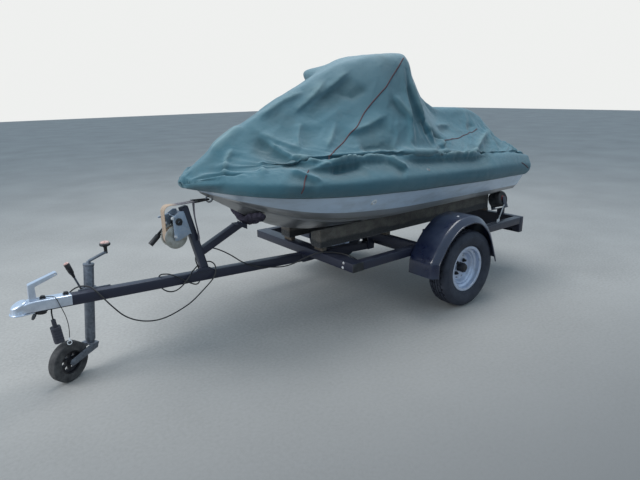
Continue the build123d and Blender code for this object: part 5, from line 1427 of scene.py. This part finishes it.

# Webbing: 50 mm wide, wound on the drum, over the top and back to the hook, with two loose tails;
# pale on the drum, grey towards the hook and on the tails.
webbing = Finish("worn_webbing", sheen_weight=0.3, sheen_roughness=0.5, roughness=0.9, specular_ior_level=0.15)
webbing_ribs = webbing.waves("Y", 110.0, 0.3)
# Pale ahead of the drum's middle, grey behind it
webbing_pale_share = webbing.share(webbing.axis("X"), 0.858, 0.888)
webbing_worn = webbing.share(webbing.noise(45, 5, 0.7), 0.35, 0.7)
webbing_pale = webbing.mixed(webbing_worn, (0.44, 0.31, 0.21), (0.30, 0.225, 0.165))
webbing_grey = webbing.mixed(webbing_worn, (0.12, 0.10, 0.12), (0.19, 0.165, 0.175))
webbing.apply(
    colour=webbing.mixed(webbing_pale_share, webbing_grey, webbing_pale),
    relief=webbing_ribs * 0.6 + webbing.noise(300, 2) * 0.4,
    depth=0.0008,
)


drum_x = ahead(1615)
drum_z = 0.617
turns = 9
turn_steps = 40
inner_radius = 0.0205
outer_radius = 0.0482
bend_radius = 0.0335
top_z = 0.7835
rise_x = drum_x + outer_radius
bend_x = rise_x - bend_radius
loop_x = ahead(1496)
bend_steps = 12
webbing_line = []
for step in range(turns * turn_steps + 1):
    share = step / (turns * turn_steps)
    angle = 2 * math.pi * turns * share
    radius = inner_radius + (outer_radius - inner_radius) * share
    webbing_line.append((drum_x + radius * math.cos(angle), drum_z + radius * math.sin(angle)))
webbing_line += [(rise_x, drum_z + 0.01 * step) for step in range(1, 13)]
for step in range(bend_steps + 1):
    angle = math.pi / 2 * step / bend_steps
    webbing_line.append((bend_x + bend_radius * math.cos(angle), top_z - bend_radius + bend_radius * math.sin(angle)))
for step in range(1, bend_steps + 1):
    share = step / bend_steps
    sag = 0.002 * math.sin(math.pi * share)
    webbing_line.append((bend_x - (bend_x - loop_x) * share, top_z - sag))
webbing_half = 0.0245
webbing_rings = [[Vector((x, webbing_half * part, z)) for part in (-1, -0.33, 0.33, 1)] for x, z in webbing_line]
band = changed(ring_mesh("strap_band", webbing_rings), "Wall", "SOLIDIFY", thickness=0.0024, offset=0)

# Columns of the loose tails: start and lean to port, length and half width
tail_steps = 19
tail_parts = [band]
for shift, lean, long, width in ((0.008, 0.030, 0.205, 0.0125), (0.018, 0.022, 0.19, 0.0115)):
    rings = []
    for step in range(tail_steps + 1):
        share = step / tail_steps
        spot = Vector((loop_x + 0.004 * math.sin(5 * share), shift + lean * share, top_z - 0.003 - long * share))
        twist = 0.35 + 0.5 * math.sin(3 * step / tail_steps)
        across = Vector((0.35 * math.sin(twist), math.cos(twist * 0.6), 0)) * width
        rings.append([spot + across * side for side in (-1, 0, 1)])
    tail_parts.append(changed(ring_mesh("strap_tail", rings), "Wall", "SOLIDIFY", thickness=0.0022))
settle(joined(tail_parts), "strap_webbing", webbing, "frame", ["winch_strap"], ease=0.0004)

# Coupling of pressed, bright zinc-plated steel, its handle, and the jockey wheel's tubes, crank
# and clamp. The jockey tyre is solid rubber on a dark moulded hub.
coupling = eased("coupling", 0.0012, zinc, segments=3)
# The nose slopes down to its lip, from where the ball's dome ends
nose_start = 2300
nose_end = 2404
nose_drop = 0.62
foot_z = 0.397
mesh = bmesh.new()
mesh.from_mesh(coupling.data)
for cut_distance in range(nose_start, nose_end, 8):
    parts = mesh.verts[:] + mesh.edges[:] + mesh.faces[:]
    bmesh.ops.bisect_plane(mesh, geom=parts, plane_co=(ahead(cut_distance), 0, 0), plane_no=(1, 0, 0))
for vertex in mesh.verts:
    share = min(1, max(0, ((vertex.co.x - axle_x) * 1000 - nose_start) / (nose_end - nose_start)))
    if vertex.co.z > foot_z:
        vertex.co.z = foot_z + (vertex.co.z - foot_z) * (1 - nose_drop * share**1.6)
bmesh.ops.triangulate(mesh, faces=[face for face in mesh.faces if len(face.verts) > 4])
mesh.to_mesh(coupling.data)
mesh.free()
active(coupling)
bpy.ops.object.shade_smooth_by_angle(angle=math.radians(40))
coupling_bolts = []
for distance in (2163, 2261):
    hit, spot, normal, face = coupling.ray_cast(place(distance, 0, 600), (0, 0, -1))
    coupling_bolts.append(bolt(spot - normal * 0.001, normal, 0.019, 0.009, 0.0145))
settle(joined(coupling_bolts), "coupling_bolts", hub_paint, "frame", ease=0.0006)
eased("coupling_handle", 0.002, zinc, segments=3)
eased("jockey_tube", 0.001, galvanised)
eased("jockey_stem", 0.001, galvanised, "jockey_leg")
eased("jockey_fork", 0.0015, galvanised, "jockey_swivel")
eased("jockey_clamp", 0.001, galvanised)
eased("jockey_crank", 0.001, galvanised)
eased("jockey_hub", 0.0012, hub_paint, "jockey_wheel")
knob_frame = upright(place(1945, -61, 585), (0, 0, 1), (1, 0, 0))
knob_outline = (
    (0, -0.0075),
    (0.0082, -0.0075),
    (0.0082, 0.02),
    (0.011, 0.0275),
    (0.0245, 0.0332),
    (0.0262, 0.0375),
    (0.0260, 0.0425),
    (0.0215, 0.0465),
    (0, 0.0465),
)
cap_outline = ((0, 0.046), (0.0212, 0.046), (0.0212, 0.0482), (0.0180, 0.0520), (0.0110, 0.0542), (0, 0.0547))
grip_outline = (
    (0, -0.078),
    (0.0062, -0.078),
    (0.0082, -0.060),
    (0.0118, -0.052),
    (0.0132, -0.030),
    (0.0138, -0.004),
    (0.0128, 0),
    (0, 0),
)
tip_outline = ((0, -0.0005), (0.0122, -0.0005), (0.0120, 0.002), (0.009, 0.0045), (0, 0.005))
knob_red = worn(
    "faded_red",
    wear=(90, 4),
    span=(0.4, 0.65),
    tones=((0.56, 0.40, 0.36), (0.30, 0.16, 0.14)),
    roughness=0.7,
)
lever_run = Vector((0.3315, 0, 0.9436))
grip_frame = upright(place(2130.7, -61, 563), lever_run)
# Columns: name, outline, steps round it, finish, slot and frame
for name, outline, steps, finish, slot, frame_at in (
    ("jockey_knob", knob_outline, 48, dark_plastic, "black_plastic", knob_frame),
    ("jockey_knob_cap", cap_outline, 48, knob_red, None, knob_frame),
    ("lever_grip", grip_outline, 40, dark_plastic, "black_plastic", grip_frame),
    ("lever_tip", tip_outline, 40, knob_red, None, grip_frame),
):
    settle(spun(outline, steps), name, finish, "frame", frame_at=frame_at, angle=50)
jockey_rubber = worn(
    "jockey_rubber",
    wear=(26, 6, 0.7),
    span=(0.35, 0.7),
    tones=((0.024, 0.023, 0.025), (0.09, 0.088, 0.086)),
    rough=(0.7, 0.2),
    relief=(90, 5, 0.7),
    depth=0.0008,
    specular_ior_level=0.3,
)
eased("jockey_tyre", 0.001, jockey_rubber, "jockey_wheel")

# Stern rollers: solid rubber on red plastic hubs, in painted yokes on the rear crossmember, held
# up by white flat stays.
for name in ("left", "right"):
    eased("roller_" + name, 0.001, jockey_rubber, "stern_roller_" + name)
roller_red = worn(
    "roller_red",
    wear=(60, 4),
    span=(0.4, 0.7),
    tones=((0.42, 0.025, 0.02), (0.2, 0.03, 0.025)),
    roughness=0.5,
)
for name in ("left", "right"):
    eased("roller_hub_" + name, 0.001, roller_red, "stern_roller_" + name)
eased("roller_brackets", 0.001, frame_paint)
eased("roller_stays", 0.0005, stay_white)

# Bow stop pad: a bundle of old cloth and tape wound over the rubber, across the craft's keel,
# lumpy and drawn in by its turns of tape.
wrap_cloth = Finish("wrap_cloth", roughness=0.85, specular_ior_level=0.3)
wrap_fuzz = wrap_cloth.noise(40, 6, 0.7)
wrap_cloth.apply(
    colour=wrap_cloth.mixed(wrap_cloth.share(wrap_fuzz, 0.4, 0.7), (0.018, 0.015, 0.028), (0.075, 0.066, 0.095)),
    relief=wrap_fuzz,
    depth=0.004,
)
wrap_distance = 1180
wrap_keel, wrap_chine_y, wrap_chine_z = smooth_between(hull_stations, wrap_distance)[:3]
wrap_rise = (wrap_chine_z - wrap_keel) / wrap_chine_y
wrap_tilt = math.radians(30)
wrap_port = 185
wrap_starboard = -150
wrap_half_long = 46
wrap_half_thick = 25
wrap_steps = 60
wrap_sides = 48


def squared(value):
    """A sine or cosine drawn out, so that a round becomes a rounded box."""
    return math.copysign(abs(value) ** 0.8, value)


wrap_rings = []
for step in range(wrap_steps + 1):
    share = step / wrap_steps
    y = wrap_starboard + (wrap_port - wrap_starboard) * share
    swell = min(1, 7 * min(share, 1 - share) + 0.08) ** 0.5
    swell *= 1 - 0.22 * abs(math.sin(9.5 * share))
    centre_z = wrap_keel + wrap_rise * abs(y) - 27
    ring = []
    for turn in range(wrap_sides):
        angle = 2 * math.pi * turn / wrap_sides
        along = wrap_half_long * swell * squared(math.cos(angle))
        out = wrap_half_thick * swell * squared(math.sin(angle))
        spot_x = wrap_distance + along * math.cos(wrap_tilt) - out * math.sin(wrap_tilt)
        spot_z = centre_z + along * math.sin(wrap_tilt) + out * math.cos(wrap_tilt)
        spot = Vector((spot_x, y, spot_z))
        lumps = noise.noise(spot * 0.035 + Vector((0, 2.5 * math.cos(angle), 0))) * 9
        rough = lumps + noise.noise(spot * 0.12) * 4
        lift = max(0, math.sin(angle))
        bump_x = rough * 0.4 * math.cos(angle)
        bump_z = rough * (math.sin(angle) - 1.4 * lift)
        ring.append(place(spot.x + bump_x, y + rough * 0.3, spot.z + bump_z))
    wrap_rings.append(ring)
wrap = mended(ring_mesh("bow_stop_wrap", wrap_rings, closed=True), ends=True)
# Spaces taken off both ends of the channel on the bow stop's brace, under the wrapped pad
brace = bpy.data.objects["bow_stop_brace_eased"]
for (low_x, low_z), (high_x, high_z) in (((1060, 0.45), (1194, 0.7)), ((1222, 0.622), (1320, 0.72))):
    cut_away(brace, cuboid((ahead(low_x), -0.06, low_z), (ahead(high_x), 0.06, high_z)))
settle(wrap, "bow_stop_wrap", wrap_cloth, "frame", ["bow_stop_pad"], angle=50)

# Small fixings: the wiring's clips on the front crossmember, the mudguards' screws and the
# cover's eyelet, all bright metal.
clips = [bolt(place(813.5, y, z), (1, 0, 0), 0.009, 0.005, 0.008) for y, z in ((421, 399), (414, 370))]
settle(joined(clips), "cable_clips", stay_white, "frame", ease=0.0005)
for side, name in ((1, "left"), (-1, "right")):
    guard = bpy.data.objects["mudguard_shell_" + name]
    hit, spot, normal, face = guard.ray_cast(place(72, side * 624, 800), (0, 0, -1))
    screw = bolt(spot - normal * 0.0005, normal, 0.009, 0.004, 0.008)
    settle(screw, "guard_screw_" + name, stay_white, "frame")
eyelet_frame = upright(*on_cover(place(266, 547, 887)))
bpy.ops.mesh.primitive_torus_add(major_radius=0.008, minor_radius=0.0024, major_segments=36, minor_segments=12)
settle(bpy.context.object, "cover_eyelet", steel, "frame", frame_at=eyelet_frame)

# Plug holder and end caps of dark plastic, ribbed red tail lamps, and the cast metal of the jet
# drive, its nozzle and the engine block inside.
eased("plug_holder", 0.0008, dark_plastic)
eased("end_caps", 0.001, dark_plastic)
lamp_red = Finish("lamp_red", coat_weight=0.6, roughness=0.25)
lamp_lines = lamp_red.waves("Y", 60.0)
lamp_tone = lamp_red.mixed(lamp_lines * 0.3, (0.35, 0.012, 0.012), (0.18, 0.008, 0.008))
lamp_red.apply(colour=lamp_tone, relief=lamp_lines)
eased("tail_lamps", 0.004, lamp_red, segments=3)
cast = Finish("cast_metal", metallic=0.8)
cast_grain = cast.noise(80, 5, 0.7)
cast_tone = cast.mixed(cast_grain, (0.28, 0.29, 0.3), (0.42, 0.43, 0.45))
cast.apply(colour=cast_tone, roughness=0.45 + cast_grain * 0.2, relief=cast_grain)
eased("jet_drive", 0.001, cast)
eased("steering_nozzle", 0.001, cast, "jet_nozzle")
eased("engine_block", 0.006, cast)
